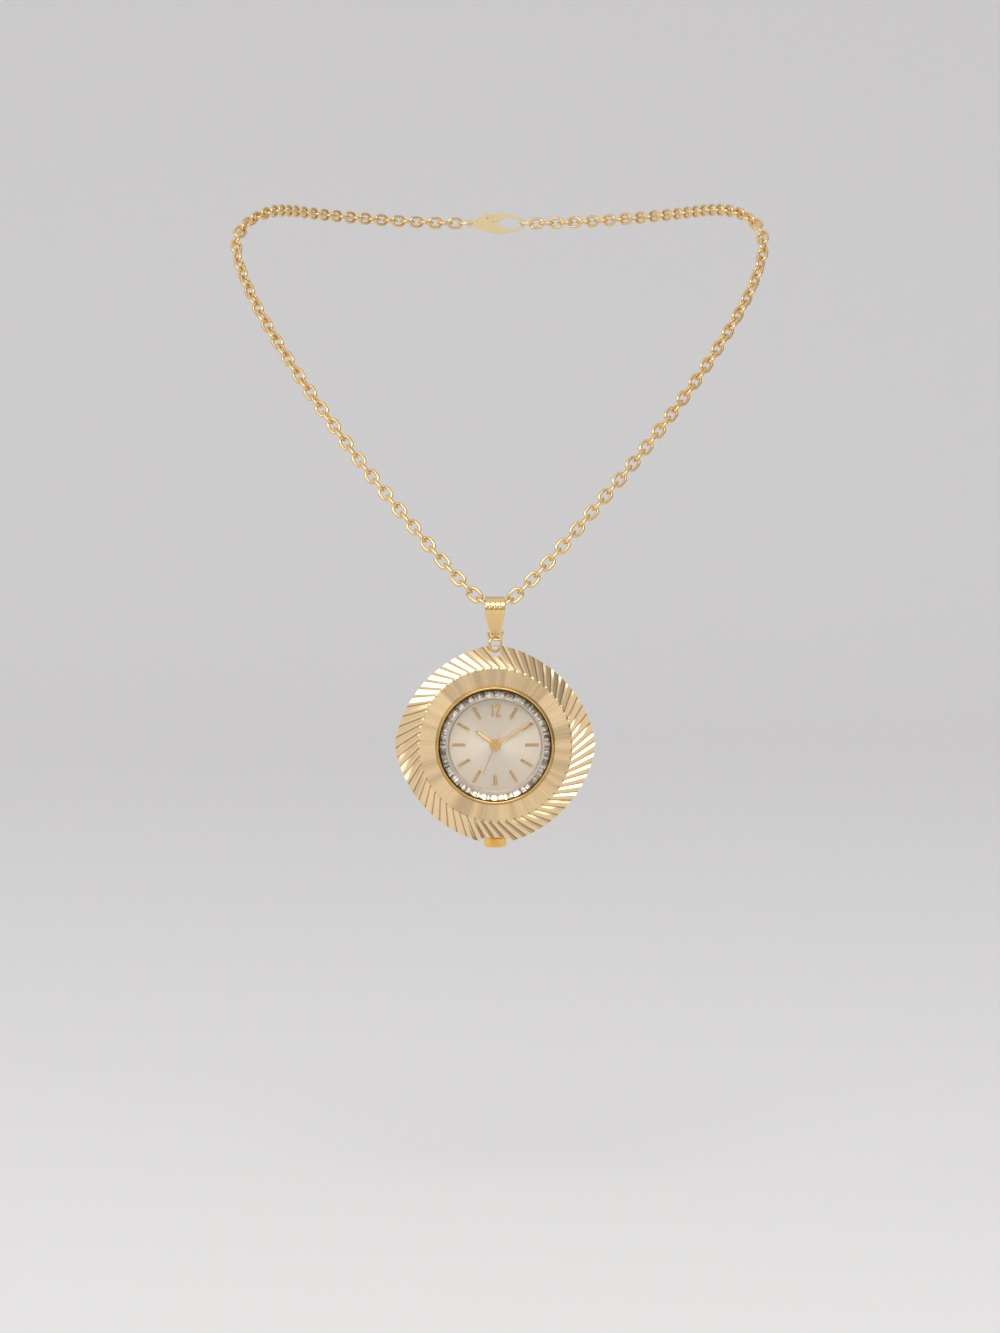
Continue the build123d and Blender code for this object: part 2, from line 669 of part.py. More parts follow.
def make_crown():
    step = 360.0 / CROWN_RIBS
    points = []
    for index in range(CROWN_RIBS):
        points.append(polar(CROWN_RADIUS - CROWN_RIB_DEPTH, index * step))
        points.append(polar(CROWN_RADIUS, (index + 0.5) * step))
    face = make_face(Polyline(*points, close=True))
    ribbed = extrude(face, amount=CROWN_TALL)
    dome = turned((
        (0, 0), (CROWN_RADIUS - 2 * CROWN_RIB_DEPTH, 0), (CROWN_RADIUS, 2 * CROWN_RIB_DEPTH),
        (CROWN_RADIUS, CROWN_TALL - 2 * CROWN_RIB_DEPTH),
        (CROWN_RADIUS - 2 * CROWN_RIB_DEPTH, CROWN_TALL), (0, CROWN_TALL),
    ))
    body = ribbed & dome
    body = body - disc(CROWN_CAVITY_RADIUS, 0, CROWN_CAVITY_DEEP)
    body = body - disc(STEM_RADIUS, 0, CROWN_CAVITY_DEEP + STEM_RADIUS)
    return Pos(0, CROWN_TOP, STEM_DEPTH) * Rot(90, 0, 0) * body


def make_crown_gasket():
    high = CROWN_TOP - GASKET_RING_INSET
    low = high - GASKET_RING_TALL
    body = rod(CROWN_CAVITY_RADIUS - FIT, low, high, STEM_DEPTH)
    return body - rod(TUBE_RADIUS + FIT, low - OVERRUN, high + OVERRUN, STEM_DEPTH)


def make_stem():
    foot = CROWN_TOP - CROWN_CAVITY_DEEP - STEM_RADIUS
    body = rod(STEM_RADIUS, foot, STEM_END, STEM_DEPTH)
    low = GROOVE_MIDDLE - GROOVE_WIDE / 2
    high = GROOVE_MIDDLE + GROOVE_WIDE / 2
    groove = rod(STEM_RADIUS + OVERRUN, low, high, STEM_DEPTH) - rod(GROOVE_RADIUS, low, high, STEM_DEPTH)
    return body - groove


def stem_gear(teeth, module, y0, y1):
    face = tooth_outline(teeth, module, 0.0) - Circle(STEM_BORE)
    body = extrude(face, amount=y1 - y0)
    return Pos(0, y1, STEM_DEPTH) * Rot(90, 0, 0) * body


def make_winding_pinion():
    return stem_gear(WINDING_TEETH, TRAIN_MODULE, *PINION_Y)


def make_clutch():
    body = stem_gear(CLUTCH_TEETH, TRAIN_MODULE, *CLUTCH_Y)
    middle = (CLUTCH_Y[0] + CLUTCH_Y[1]) / 2
    quarter = (CLUTCH_Y[1] - CLUTCH_Y[0]) / 8
    waist_radius = STEM_BORE + 2 * FIT
    outside = rod(CROWN_RADIUS, middle - quarter, middle + quarter, STEM_DEPTH)
    return body - (outside - rod(waist_radius, middle - quarter, middle + quarter, STEM_DEPTH))

LEVER_SWING = math.degrees(2 * math.asin(PULL / 2 / LEVER_ARM))


def make_setting_lever():
    nose = polar(LEVER_ARM, 180.0 - LEVER_SWING / 2, LEVER_PIVOT)
    body = disc(LEVER_HUB, LEVER_LOW, LEVER_HIGH, LEVER_PIVOT)
    body = body + bar(LEVER_WIDE, LEVER_PIVOT, nose, LEVER_LOW, LEVER_HIGH)
    body = body + disc(LEVER_NOSE, LEVER_LOW, LEVER_HIGH, nose)
    return body - disc(LEVER_PIN + FIT, LEVER_LOW - OVERRUN, LEVER_HIGH + OVERRUN, LEVER_PIVOT)


def make_dial():
    return disc(DIAL_RADIUS, -DIAL_THICK, 0) - disc(DIAL_HOLE, -DIAL_THICK - OVERRUN, OVERRUN)


def marker(inner, outer, wide, angle, shift=0.0):
    body = block(shift - wide / 2, shift + wide / 2, inner, outer, 0, MARKER_TALL)
    rise = chamfer(body.edges().group_by(Axis.Z)[-1], min(wide, MARKER_TALL) * MARKER_BEVEL_SHARE)
    return Rot(0, 0, -angle) * rise


def make_hour_markers():
    markers = []
    for hour in range(1, 12):
        if hour == 6:
            continue
        markers.append(marker(MARKER_INNER, MARKER_OUTER, MARKER_WIDE, hour * 30.0))
    for side in (-1, 1):
        shift = side * (SIX_WIDE + SIX_GAP) / 2
        markers.append(marker(SIX_INNER, SIX_OUTER, SIX_WIDE, 180.0, shift))
    return Compound(children=markers)


def numeral_one(x):
    return block(x - NUMERAL_STROKE / 2, x + NUMERAL_STROKE / 2, NUMERAL_LOW,
                 NUMERAL_LOW + NUMERAL_TALL, 0, MARKER_TALL)


def numeral_two(x):
    """The figure 2 as a round top, a falling stroke and a flat foot."""
    half = NUMERAL_WIDE / 2
    bowl = half - NUMERAL_STROKE / 2
    foot = NUMERAL_LOW + NUMERAL_STROKE / 2
    crown = NUMERAL_LOW + NUMERAL_TALL - half
    top = Line((x - bowl, crown), (x - bowl, crown - NUMERAL_STROKE / 2))
    arc = ThreePointArc((x - bowl, crown), (x, crown + bowl), (x + bowl, crown))
    fall = Line((x + bowl, crown), (x - bowl, foot))
    base = Line((x - bowl, foot), (x + half, foot))
    shape = Sketch()
    for edge in (top, arc, fall, base):
        shape = shape + trace(edge, NUMERAL_STROKE)
    return extrude(shape, amount=MARKER_TALL)


def make_numeral():
    left = -(NUMERAL_GAP + NUMERAL_STROKE) / 2
    right = (NUMERAL_GAP + NUMERAL_WIDE) / 2 - NUMERAL_STROKE / 2
    return Compound(children=[numeral_one(left - NUMERAL_STROKE / 2), numeral_two(right)])


def hand(long, wide, low, thick, angle, hub, bore, tail=0.0):
    blade = make_face(Polyline(
        (-wide / 2, -tail), (wide / 2, -tail), (wide / 2, long * BLADE_SHARE + hub),
        (0, long), (-wide / 2, long * BLADE_SHARE + hub), close=True))
    face = blade + Circle(hub)
    if bore:
        face = face - Circle(bore)
    return Pos(0, 0, low) * Rot(0, 0, -angle) * extrude(face, amount=thick)


def make_hour_hand():
    return hand(HOUR_LONG, HOUR_WIDE, HOUR_LOW, HAND_THICK, HOUR_ANGLE, HUB_RADIUS, HOUR_TUBE_OUTER)


def make_minute_hand():
    return hand(MINUTE_LONG, MINUTE_WIDE, MINUTE_LOW, HAND_THICK, MINUTE_ANGLE, MINUTE_HUB_RADIUS,
                CANNON_OUTER)


def make_second_hand():
    body = hand(SECOND_LONG, SECOND_WIDE, SECOND_LOW, SECOND_THICK, SECOND_ANGLE, SECOND_HUB_RADIUS,
                SECOND_ARBOR, SECOND_TAIL)
    return body + ring(CAP_RADIUS, SECOND_ARBOR, SECOND_LOW, CAP_TOP)

CENTRE_HOLE = CENTRE_TUBE_OUTER + FIT
PLATE_JEWEL_HOLE = ARBOR + FIT


def plate_window(low, high):
    return block(-WINDOW_HALF, WINDOW_HALF, PINION_Y[0] - WINDOW_MARGIN,
                 CLUTCH_Y[1] + CLUTCH_MOVE + WINDOW_MARGIN, low, high)


def make_main_plate():
    body = disc(PLATE_RADIUS, PLATE_BACK, PLATE_FRONT)
    body = body + ring(PLATE_RADIUS, PLATE_RIM, PLATE_FRONT, -DIAL_THICK)
    body = body + block(-BEARING_HALF, BEARING_HALF, *BEARING_Y, BEARING_END, PLATE_BACK)
    low = PLATE_BACK - OVERRUN
    body = body - plate_window(low, PLATE_FRONT)
    body = body - rod(STEM_BORE, BEARING_Y[0] - OVERRUN, BEARING_Y[1] + SEAT, STEM_DEPTH)
    body = body - disc(CENTRE_HOLE, low, PLATE_FRONT)
    for place in (THIRD_AT, ESCAPE_AT, PALLET_AT, BALANCE_AT):
        body = body - disc(PLATE_JEWEL_HOLE, low, PLATE_FRONT, place)
    body = body - disc(BARREL_ARBOR + FIT, low, PLATE_FRONT, BARREL_AT)
    body = body + disc(MINUTE_POST, PLATE_FRONT, -DIAL_THICK - 2 * FIT, MINUTE_WHEEL_AT)
    return body + disc(LEVER_PIN, LEVER_LOW - FIT, PLATE_BACK, LEVER_PIVOT)


def make_movement_ring():
    body = ring(CASE_BORE - FIT, PLATE_RADIUS + FIT, SPACER_END, -DIAL_THICK)
    return body - rod(STEM_BORE + FIT, -CASE_BORE - OVERRUN, -PLATE_RADIUS + OVERRUN, STEM_DEPTH)

PILLAR_PLACES = [polar(PILLAR_REACH, angle) for angle in PILLAR_ANGLES]


def make_bridge():
    body = disc(BRIDGE_RADIUS, BRIDGE_BACK, BRIDGE_FRONT)
    low = BRIDGE_BACK - OVERRUN
    high = BRIDGE_FRONT + OVERRUN
    clear = BALANCE_RADIUS + 3 * FIT
    body = body - disc(clear, low, high, BALANCE_AT)
    outer = polar(BALANCE_REACH + BALANCE_RADIUS / 2, BALANCE_ANGLE)
    body = body - disc(clear * BRIDGE_RECESS_SHARE, low, high, outer)
    body = body - disc(COCK_FOOT_RADIUS + 4 * FIT, low, high, COCK_FOOT_AT)
    body = body - plate_window(low, high)
    body = body - disc(BARREL_ARBOR + FIT, low, high, BARREL_AT)
    for place in (THIRD_AT, ESCAPE_AT, (0.0, 0.0)):
        body = body - disc(PLATE_JEWEL_HOLE, low, high, place)
    for place in PILLAR_PLACES:
        body = body - disc(SCREW_SHANK + SEAT, low, high, place)
    return body + disc(CLICK_PIN, CLICK_LOW - FIT, BRIDGE_BACK, CLICK_AT)


def make_pillars():
    posts = []
    for place in PILLAR_PLACES:
        post = disc(PILLAR_RADIUS, BRIDGE_FRONT, PLATE_BACK, place)
        posts.append(post - disc(SCREW_SHANK + SEAT, BRIDGE_FRONT, BRIDGE_BACK + SCREW_REACH + SEAT, place))
    return Compound(children=posts)


def slotted_head(radius, low, high, at, turn):
    head = disc(radius, low, high, at)
    slot = Pos(at[0], at[1], 0) * Rot(0, 0, turn) * block(
        -radius * 2, radius * 2, -SCREW_SLOT / 2, SCREW_SLOT / 2, low, low + (high - low) / 2)
    return head - slot


def make_bridge_screws():
    screws = []
    for index, place in enumerate(PILLAR_PLACES):
        head = slotted_head(SCREW_HEAD_RADIUS, BRIDGE_BACK - SCREW_HEAD_TALL, BRIDGE_BACK, place,
                            PILLAR_ANGLES[index] + index * SCREW_SLOT_STEP)
        screws.append(head + disc(SCREW_SHANK, BRIDGE_BACK, BRIDGE_BACK + SCREW_REACH, place))
    return Compound(children=screws)


def make_barrel():
    bore = BARREL_ARBOR + FIT
    phase = BARREL_ANGLE + 180.0
    teeth = gear(BARREL_TEETH, BARREL_MODULE, BARREL_TOOTH_LOW, BARREL_TOP, BARREL_AT, phase, bore)
    wall = ring(DRUM_RADIUS, DRUM_BORE, BARREL_LID, BARREL_TOOTH_LOW, BARREL_AT)
    return teeth + wall + ring(DRUM_RADIUS, bore, BARREL_END, BARREL_LID, BARREL_AT)


def make_mainspring():
    return spiral_ribbon(SPRING_START, SPRING_PITCH, SPRING_HALF_TURNS, SPRING_THICK,
                         BARREL_LID + FIT, BARREL_TOOTH_LOW - FIT, BARREL_AT)

CROWN_WHEEL_REACH = TRAIN_MODULE * (CROWN_WHEEL_TEETH + RATCHET_TEETH) / 2
CROWN_WHEEL_AT = (0.0, BARREL_AT[1] - math.sqrt(CROWN_WHEEL_REACH ** 2 - BARREL_AT[0] ** 2))
WINDING_ANGLE = math.degrees(math.atan2(BARREL_AT[1] - CROWN_WHEEL_AT[1], BARREL_AT[0]))


def make_barrel_arbor():
    body = disc(BARREL_ARBOR, WINDING_HIGH, ARBOR_FRONT, BARREL_AT)
    neck = disc(RATCHET_BORE, WINDING_LOW, WINDING_HIGH, BARREL_AT)
    return body + neck + slotted_head(RATCHET_HEAD, RATCHET_HEAD_LOW, WINDING_LOW, BARREL_AT,
                                      RATCHET_SLOT_ANGLE)


def make_ratchet_wheel():
    phase = mesh_phase(0.0, CROWN_WHEEL_TEETH, RATCHET_TEETH, WINDING_ANGLE)
    return gear(RATCHET_TEETH, TRAIN_MODULE, WINDING_LOW, WINDING_HIGH, BARREL_AT, phase, RATCHET_BORE)


def make_crown_wheel():
    return gear(CROWN_WHEEL_TEETH, TRAIN_MODULE, WINDING_LOW, WINDING_HIGH, CROWN_WHEEL_AT, 0.0,
                CORE_RADIUS + FIT)


def make_crown_wheel_core():
    under = WINDING_LOW - CORE_GAP
    post = disc(CORE_RADIUS, under, BRIDGE_BACK, CROWN_WHEEL_AT)
    return post + slotted_head(CORE_HEAD, RATCHET_HEAD_LOW, under, CROWN_WHEEL_AT, CORE_SLOT_ANGLE)


def make_click():
    body = disc(CLICK_HUB, CLICK_LOW, CLICK_HIGH, CLICK_AT)
    body = body + bar(CLICK_WIDE, CLICK_AT, CLICK_TIP, CLICK_LOW, CLICK_HIGH)
    return body - disc(CLICK_PIN + FIT, CLICK_LOW - OVERRUN, CLICK_HIGH + OVERRUN, CLICK_AT)


def make_click_spring():
    touch = polar(CLICK_HUB + CLICK_SPRING_WIDE, SPRING_TOUCH_ANGLE, CLICK_AT)
    body = disc(SPRING_POST, CLICK_LOW, BRIDGE_BACK, SPRING_POST_AT)
    return body + bar(CLICK_SPRING_WIDE, SPRING_POST_AT, touch, CLICK_LOW, CLICK_HIGH)

CENTRE_PHASE = mesh_phase(BARREL_ANGLE + 180.0, BARREL_TEETH, CENTRE_PINION_TEETH, BARREL_ANGLE + 180.0)


def make_centre_wheel():
    origin = (0.0, 0.0)
    body = gear(CENTRE_PINION_TEETH, BARREL_MODULE, BARREL_TOOTH_LOW, BARREL_TOP, origin, CENTRE_PHASE,
                CENTRE_TUBE_INNER)
    body = body + gear(CENTRE_TEETH, TRAIN_MODULE, CENTRE_LOW, CENTRE_HIGH, origin, THIRD_ANGLE,
                       CENTRE_TUBE_INNER, 5)
    return body + ring(CENTRE_TUBE_OUTER, CENTRE_TUBE_INNER, CENTRE_LOW - SEAT, CENTRE_TUBE_TOP)


def make_cannon_pinion():
    body = gear(CANNON_TEETH, TRAIN_MODULE, CANNON_LOW, CANNON_HIGH, (0.0, 0.0), MINUTE_WHEEL_ANGLE,
                CANNON_INNER)
    return body + ring(CANNON_OUTER, CANNON_INNER, CANNON_LOW, MINUTE_LOW + HAND_THICK)


def make_minute_wheel():
    phase = mesh_phase(MINUTE_WHEEL_ANGLE, CANNON_TEETH, MINUTE_TEETH, MINUTE_WHEEL_ANGLE)
    bore = MINUTE_POST + FIT
    body = gear(MINUTE_TEETH, TRAIN_MODULE, CANNON_LOW, MINUTE_WHEEL_HIGH, MINUTE_WHEEL_AT, phase, bore, 4)
    pinion = gear(MINUTE_PINION_TEETH, HOUR_MODULE, MINUTE_WHEEL_HIGH, HOUR_WHEEL_HIGH, MINUTE_WHEEL_AT,
                  MINUTE_WHEEL_ANGLE + 180.0, bore)
    return body + pinion


def make_hour_wheel():
    phase = mesh_phase(MINUTE_WHEEL_ANGLE + 180.0, MINUTE_PINION_TEETH, HOUR_TEETH,
                       MINUTE_WHEEL_ANGLE + 180.0)
    body = gear(HOUR_TEETH, HOUR_MODULE, HOUR_WHEEL_LOW, HOUR_WHEEL_HIGH, (0.0, 0.0), phase,
                HOUR_TUBE_INNER)
    return body + ring(HOUR_TUBE_OUTER, HOUR_TUBE_INNER, HOUR_WHEEL_LOW, HOUR_LOW + HAND_THICK)


def make_third_wheel():
    phase = mesh_phase(THIRD_ANGLE, CENTRE_TEETH, THIRD_PINION_TEETH, THIRD_ANGLE)
    body = gear(THIRD_PINION_TEETH, TRAIN_MODULE, THIRD_PINION_LOW, THIRD_PINION_HIGH, THIRD_AT, phase)
    body = body + gear(THIRD_TEETH, FOURTH_PINION_MODULE, THIRD_LOW, THIRD_HIGH, THIRD_AT,
                       THIRD_ANGLE + 180.0, 0.0, 5)
    return body + disc(ARBOR, ARBOR_BACK, ARBOR_FRONT, THIRD_AT)


def make_fourth_wheel():
    origin = (0.0, 0.0)
    phase = mesh_phase(THIRD_ANGLE + 180.0, THIRD_TEETH, FOURTH_PINION_TEETH, THIRD_ANGLE + 180.0)
    body = gear(FOURTH_PINION_TEETH, FOURTH_PINION_MODULE, FOURTH_PINION_LOW, FOURTH_PINION_HIGH, origin,
                phase)
    body = body + gear(FOURTH_TEETH, TRAIN_MODULE, FOURTH_LOW, FOURTH_HIGH, origin, ESCAPE_ANGLE, 0.0, 4)
    return body + disc(SECOND_ARBOR, ARBOR_BACK, CAP_TOP)


def make_escape_wheel():
    phase = mesh_phase(ESCAPE_ANGLE, FOURTH_TEETH, ESCAPE_PINION_TEETH, ESCAPE_ANGLE)
    body = gear(ESCAPE_PINION_TEETH, TRAIN_MODULE, ESCAPE_PINION_LOW, ESCAPE_PINION_HIGH, ESCAPE_AT, phase)
    points = []
    for index in range(ESCAPE_TEETH):
        angle = index * 360.0 / ESCAPE_TEETH
        points.append(polar(ESCAPE_ROOT, angle))
        points.append(polar(ESCAPE_TIP, angle + HOOK_TURN))
        points.append(polar(ESCAPE_TIP, angle + HOOK_TURN + HOOK_FLAT))
        points.append(polar(ESCAPE_ROOT, angle + HOOK_BACK))
    face = make_face(Polyline(*points, close=True)) - Circle(ESCAPE_ROOT * RIM_SHARE)
    hub = ESCAPE_ROOT * HUB_SHARE + ARBOR
    for index in range(4):
        spoke = Rectangle(ESCAPE_ROOT, FORK_WIDE, align=(Align.MIN, Align.CENTER))
        face = face + Rot(0, 0, index * 90.0) * spoke
    face = face + Circle(hub)
    wheel = Pos(ESCAPE_AT[0], ESCAPE_AT[1], ESCAPE_LOW) * extrude(face, amount=ESCAPE_HIGH - ESCAPE_LOW)
    return body + wheel + disc(ARBOR, ARBOR_BACK, ARBOR_FRONT, ESCAPE_AT)


def make_pallet_fork():
    toward = math.degrees(math.atan2(PALLET_AT[1] - ESCAPE_AT[1], PALLET_AT[0] - ESCAPE_AT[0]))
    onward = math.degrees(math.atan2(BALANCE_AT[1] - PALLET_AT[1], BALANCE_AT[0] - PALLET_AT[0]))
    body = disc(PALLET_ARBOR * 2, ESCAPE_LOW, ESCAPE_HIGH, PALLET_AT)
    body = body + bar(FORK_WIDE, PALLET_AT, polar(FORK_LONG, onward, PALLET_AT), ESCAPE_LOW, ESCAPE_HIGH)
    for side in (-1, 1):
        stone = polar(ESCAPE_TIP + PALLET_GAP + STONE, toward + side * PALLET_SPAN, ESCAPE_AT)
        body = body + bar(PALLET_WIDE, PALLET_AT, stone, ESCAPE_LOW, ESCAPE_HIGH)
        body = body + disc(STONE, ESCAPE_LOW, ESCAPE_HIGH, stone)
    return body + disc(PALLET_ARBOR, BALANCE_HIGH + FIT, ARBOR_FRONT, PALLET_AT)


def make_balance_wheel():
    body = ring(BALANCE_RADIUS, BALANCE_RADIUS - BALANCE_RIM, BALANCE_LOW, BALANCE_HIGH, BALANCE_AT)
    for index in range(2):
        end = polar(BALANCE_RADIUS - BALANCE_RIM / 2, BALANCE_SPOKE_ANGLE + 180.0 * index, BALANCE_AT)
        body = body + bar(BALANCE_RIM, BALANCE_AT, end, BALANCE_LOW, BALANCE_HIGH)
    onward = math.degrees(math.atan2(PALLET_AT[1] - BALANCE_AT[1], PALLET_AT[0] - BALANCE_AT[0]))
    body = body + disc(COLLET * 2, BALANCE_LOW, BALANCE_HIGH, BALANCE_AT)
    body = body + disc(COLLET, HAIRSPRING_LOW, HAIRSPRING_HIGH, BALANCE_AT)
    body = body + disc(ROLLER, ROLLER_LOW, ROLLER_HIGH, BALANCE_AT)
    body = body + disc(PIN_RADIUS, ROLLER_HIGH, ESCAPE_HIGH - FIT, polar(PIN_REACH, onward, BALANCE_AT))
    return body + disc(PALLET_ARBOR, STAFF_BACK, ARBOR_FRONT, BALANCE_AT)


def make_hairspring():
    return spiral_ribbon(HAIRSPRING_START, HAIRSPRING_PITCH, HAIRSPRING_HALF_TURNS, HAIRSPRING_THICK,
                         HAIRSPRING_LOW, HAIRSPRING_HIGH, BALANCE_AT)


def make_balance_cock():
    foot = disc(COCK_FOOT_RADIUS, COCK_BACK, PLATE_BACK, COCK_FOOT_AT)
    arm = disc(COCK_END_RADIUS, COCK_BACK, COCK_FRONT, BALANCE_AT)
    arm = arm + bar(2 * COCK_END_RADIUS, COCK_FOOT_AT, BALANCE_AT, COCK_BACK, COCK_FRONT)
    outer = HAIRSPRING_START + HAIRSPRING_HALF_TURNS * HAIRSPRING_PITCH / 2 + HAIRSPRING_THICK / 2
    stud_at = (BALANCE_AT[0] + outer + STUD + SEAT, BALANCE_AT[1])
    body = foot + arm + disc(STUD, COCK_FRONT, HAIRSPRING_HIGH, stud_at)
    return body - disc(PALLET_ARBOR + FIT, COCK_BACK - OVERRUN, COCK_FRONT + OVERRUN, BALANCE_AT)


def teardrop(big, small):
    """Side view of the bail: a round top that narrows to a round foot, y to the left."""
    lean = math.acos((big - small) / BAIL_TALL)
    rise, out = math.cos(lean), math.sin(lean)
    top_left = (BAIL_PIVOT - big * rise, big * out)
    top_right = (BAIL_PIVOT - big * rise, -big * out)
    foot_left = (BAIL_FOOT - small * rise, small * out)
    foot_right = (BAIL_FOOT - small * rise, -small * out)
    return make_face([
        ThreePointArc(top_left, (BAIL_PIVOT + big, 0), top_right), Line(top_right, foot_right),
        ThreePointArc(foot_right, (BAIL_FOOT - small, 0), foot_left), Line(foot_left, top_left),
    ])


def bail_half_width(height):
    top = BAIL_PIVOT - BAIL_SHOULDER
    foot = BAIL_FOOT - BAIL_FOOT_RADIUS - BAIL_WALL
    share = min((height - foot) / (top - foot), 1.0)
    return BAIL_FOOT_HALF + (BAIL_TOP_HALF - BAIL_FOOT_HALF) * share


def bail_flute(index):
    """A round hollow along the front of the bail, which draws in with its sides."""
    big = BAIL_LOOP_RADIUS + BAIL_WALL
    small = BAIL_FOOT_RADIUS + BAIL_WALL
    lean = math.acos((big - small) / BAIL_TALL)
    rise, out = math.cos(lean), math.sin(lean)
    radius = (BAIL_FLUTE_HALF ** 2 + BAIL_FLUTE_DEPTH ** 2) / (2 * BAIL_FLUTE_DEPTH)
    lift = radius - BAIL_FLUTE_DEPTH
    side = (2 * index + 1) / BAIL_FLUTES - 1
    ends = []
    for centre, bend in ((BAIL_PIVOT, big), (BAIL_FOOT, small)):
        height = centre - bend * rise
        ends.append(Vector(side * bail_half_width(height), height - lift * rise, (bend + lift) * out))
    along = (ends[1] - ends[0]).normalized()
    start = Plane(origin=ends[0] - along * OVERRUN, z_dir=along)
    return Solid.make_cylinder(radius, (ends[1] - ends[0]).length + 2 * OVERRUN, start)


def make_bail():
    outer_top = BAIL_LOOP_RADIUS + BAIL_WALL
    outer_foot = BAIL_FOOT_RADIUS + BAIL_WALL
    profile = teardrop(outer_top, outer_foot) - teardrop(BAIL_LOOP_RADIUS, BAIL_FOOT_RADIUS)
    body = Plane.YZ * extrude(profile, amount=BAIL_TOP_HALF, both=True)
    top = BAIL_PIVOT + outer_top
    foot = BAIL_FOOT - outer_foot
    taper = make_face(Polyline(
        (-BAIL_TOP_HALF, top), (BAIL_TOP_HALF, top), (BAIL_TOP_HALF, BAIL_PIVOT - BAIL_SHOULDER),
        (BAIL_FOOT_HALF, foot), (-BAIL_FOOT_HALF, foot), (-BAIL_TOP_HALF, BAIL_PIVOT - BAIL_SHOULDER),
        close=True))
    body = body & extrude(taper, amount=top, both=True)
    body = body - [bail_flute(index) for index in range(BAIL_FLUTES)]
    return Pos(0, 0, HANG_DEPTH) * body


def swept(path, wire):
    section = Plane(origin=path @ 0, z_dir=path % 0) * Circle(wire / 2)
    return sweep(section, path=path)


def make_bail_link():
    corners = (
        (-LINK_TOP_HALF, LINK_HEAD), (LINK_TOP_HALF, LINK_HEAD),
        (LINK_BOTTOM_HALF, LINK_FOOT), (-LINK_BOTTOM_HALF, LINK_FOOT),
    )
    face = make_face(Polyline(*corners, close=True))
    top = face.vertices().group_by(Axis.Y)[-1]
    face = fillet(top, LINK_TOP_FILLET)
    bottom = face.vertices().group_by(Axis.Y)[0]
    face = fillet(bottom, LINK_BOTTOM_FILLET)
    return Pos(0, 0, HANG_DEPTH) * swept(face.wire(), LINK_WIRE)


def make_jump_ring():
    return Pos(0, RING_CENTRE, HANG_DEPTH) * Rot(0, RING_TWIST, 0) * Torus(RING_MEAN_RADIUS, RING_WIRE / 2)


def route_samples():
    """The chain's route, a smooth curve of second degree through its control points."""
    count = len(ROUTE)
    spans = count - 2
    knots = [0, 0] + list(range(spans + 1)) + [spans, spans]
    samples = []
    for span in range(spans):
        for step in range(ROUTE_STEPS + (span == spans - 1)):
            u = span + step / ROUTE_STEPS
            points = [Vector(*ROUTE[span + index]) for index in range(3)]
            for level in (1, 2):
                for index in range(2, level - 1, -1):
                    left = knots[span + index]
                    right = knots[span + index + 3 - level]
                    share = (u - left) / (right - left)
                    points[index] = points[index - 1] * (1 - share) + points[index] * share
            samples.append(points[2])
    return samples


def arc_lengths(samples):
    lengths = [0.0]
    for before, after in zip(samples, samples[1:]):
        lengths.append(lengths[-1] + (after - before).length)
    return lengths


def at_length(samples, lengths, wanted):
    index = 1
    while index < len(lengths) - 1 and lengths[index] < wanted:
        index += 1
    span = lengths[index] - lengths[index - 1]
    share = (wanted - lengths[index - 1]) / span
    point = samples[index - 1] * (1 - share) + samples[index] * share
    before = samples[max(index - 3, 0)]
    after = samples[min(index + 2, len(samples) - 1)]
    return point, (after - before).normalized()


def face_turn(share):
    for (low, first), (high, last) in zip(TURN_STOPS_SHARES, TURN_STOPS_SHARES[1:]):
        if share <= high:
            return first + (last - first) * (share - low) / (high - low)
    return TURN_STOPS_SHARES[-1][1]


def link_solid():
    straight = (CHAIN_LINK_LONG - CHAIN_LINK_WIDE) / 2
    bend = (CHAIN_LINK_WIDE - CHAIN_WIRE) / 2
    path = Wire([
        Line((-straight, bend), (straight, bend)),
        ThreePointArc((straight, bend), (straight + bend, 0), (straight, -bend)),
        Line((straight, -bend), (-straight, -bend)),
        ThreePointArc((-straight, -bend), (-straight - bend, 0), (-straight, bend)),
    ])
    return swept(path, CHAIN_WIRE)


def nearest_odd(value):
    return 2 * round((value - 1) / 2) + 1


def chain_place(samples, lengths, wanted, share, side, roll):
    """A place on the route whose x runs along the chain and whose z is the link's face."""
    point, along = at_length(samples, lengths, wanted)
    turn = math.radians(face_turn(share)) * side
    facing = Vector(math.sin(turn), -math.cos(turn), 0)
    facing = (facing - along * facing.dot(along)).normalized()
    return Plane(origin=point, x_dir=along, z_dir=facing).location * Rot(roll, 0, 0)


def make_chain():
    samples = route_samples()
    lengths = arc_lengths(samples)
    middle = min(range(len(samples)), key=lambda index: abs(samples[index].X))
    bail_length = lengths[middle]
    link = link_solid()
    parts = {"chain_front_left": [], "chain_back_left": [], "chain_front_right": [], "chain_back_right": []}
    pitches = []
    for side, name in ((-1, "left"), (1, "right")):
        run = bail_length if side < 0 else lengths[-1] - bail_length
        count = nearest_odd(run / CHAIN_PITCH)
        pitch = run / count
        pitches.append(pitch)
        for index in range(0 if side < 0 else 1, count):
            share = index / count
            place = chain_place(samples, lengths, bail_length + side * index * pitch, share, side,
                                90.0 * (index % 2))
            half = "front" if share < CHAIN_SPLIT_SHARE else "back"
            parts["chain_" + half + "_" + name].append(place * link)
    print("chain run", round(lengths[-1], 2), "mm, pitches", [round(value, 3) for value in pitches])
    return {name: Compound(children=links) for name, links in parts.items()}

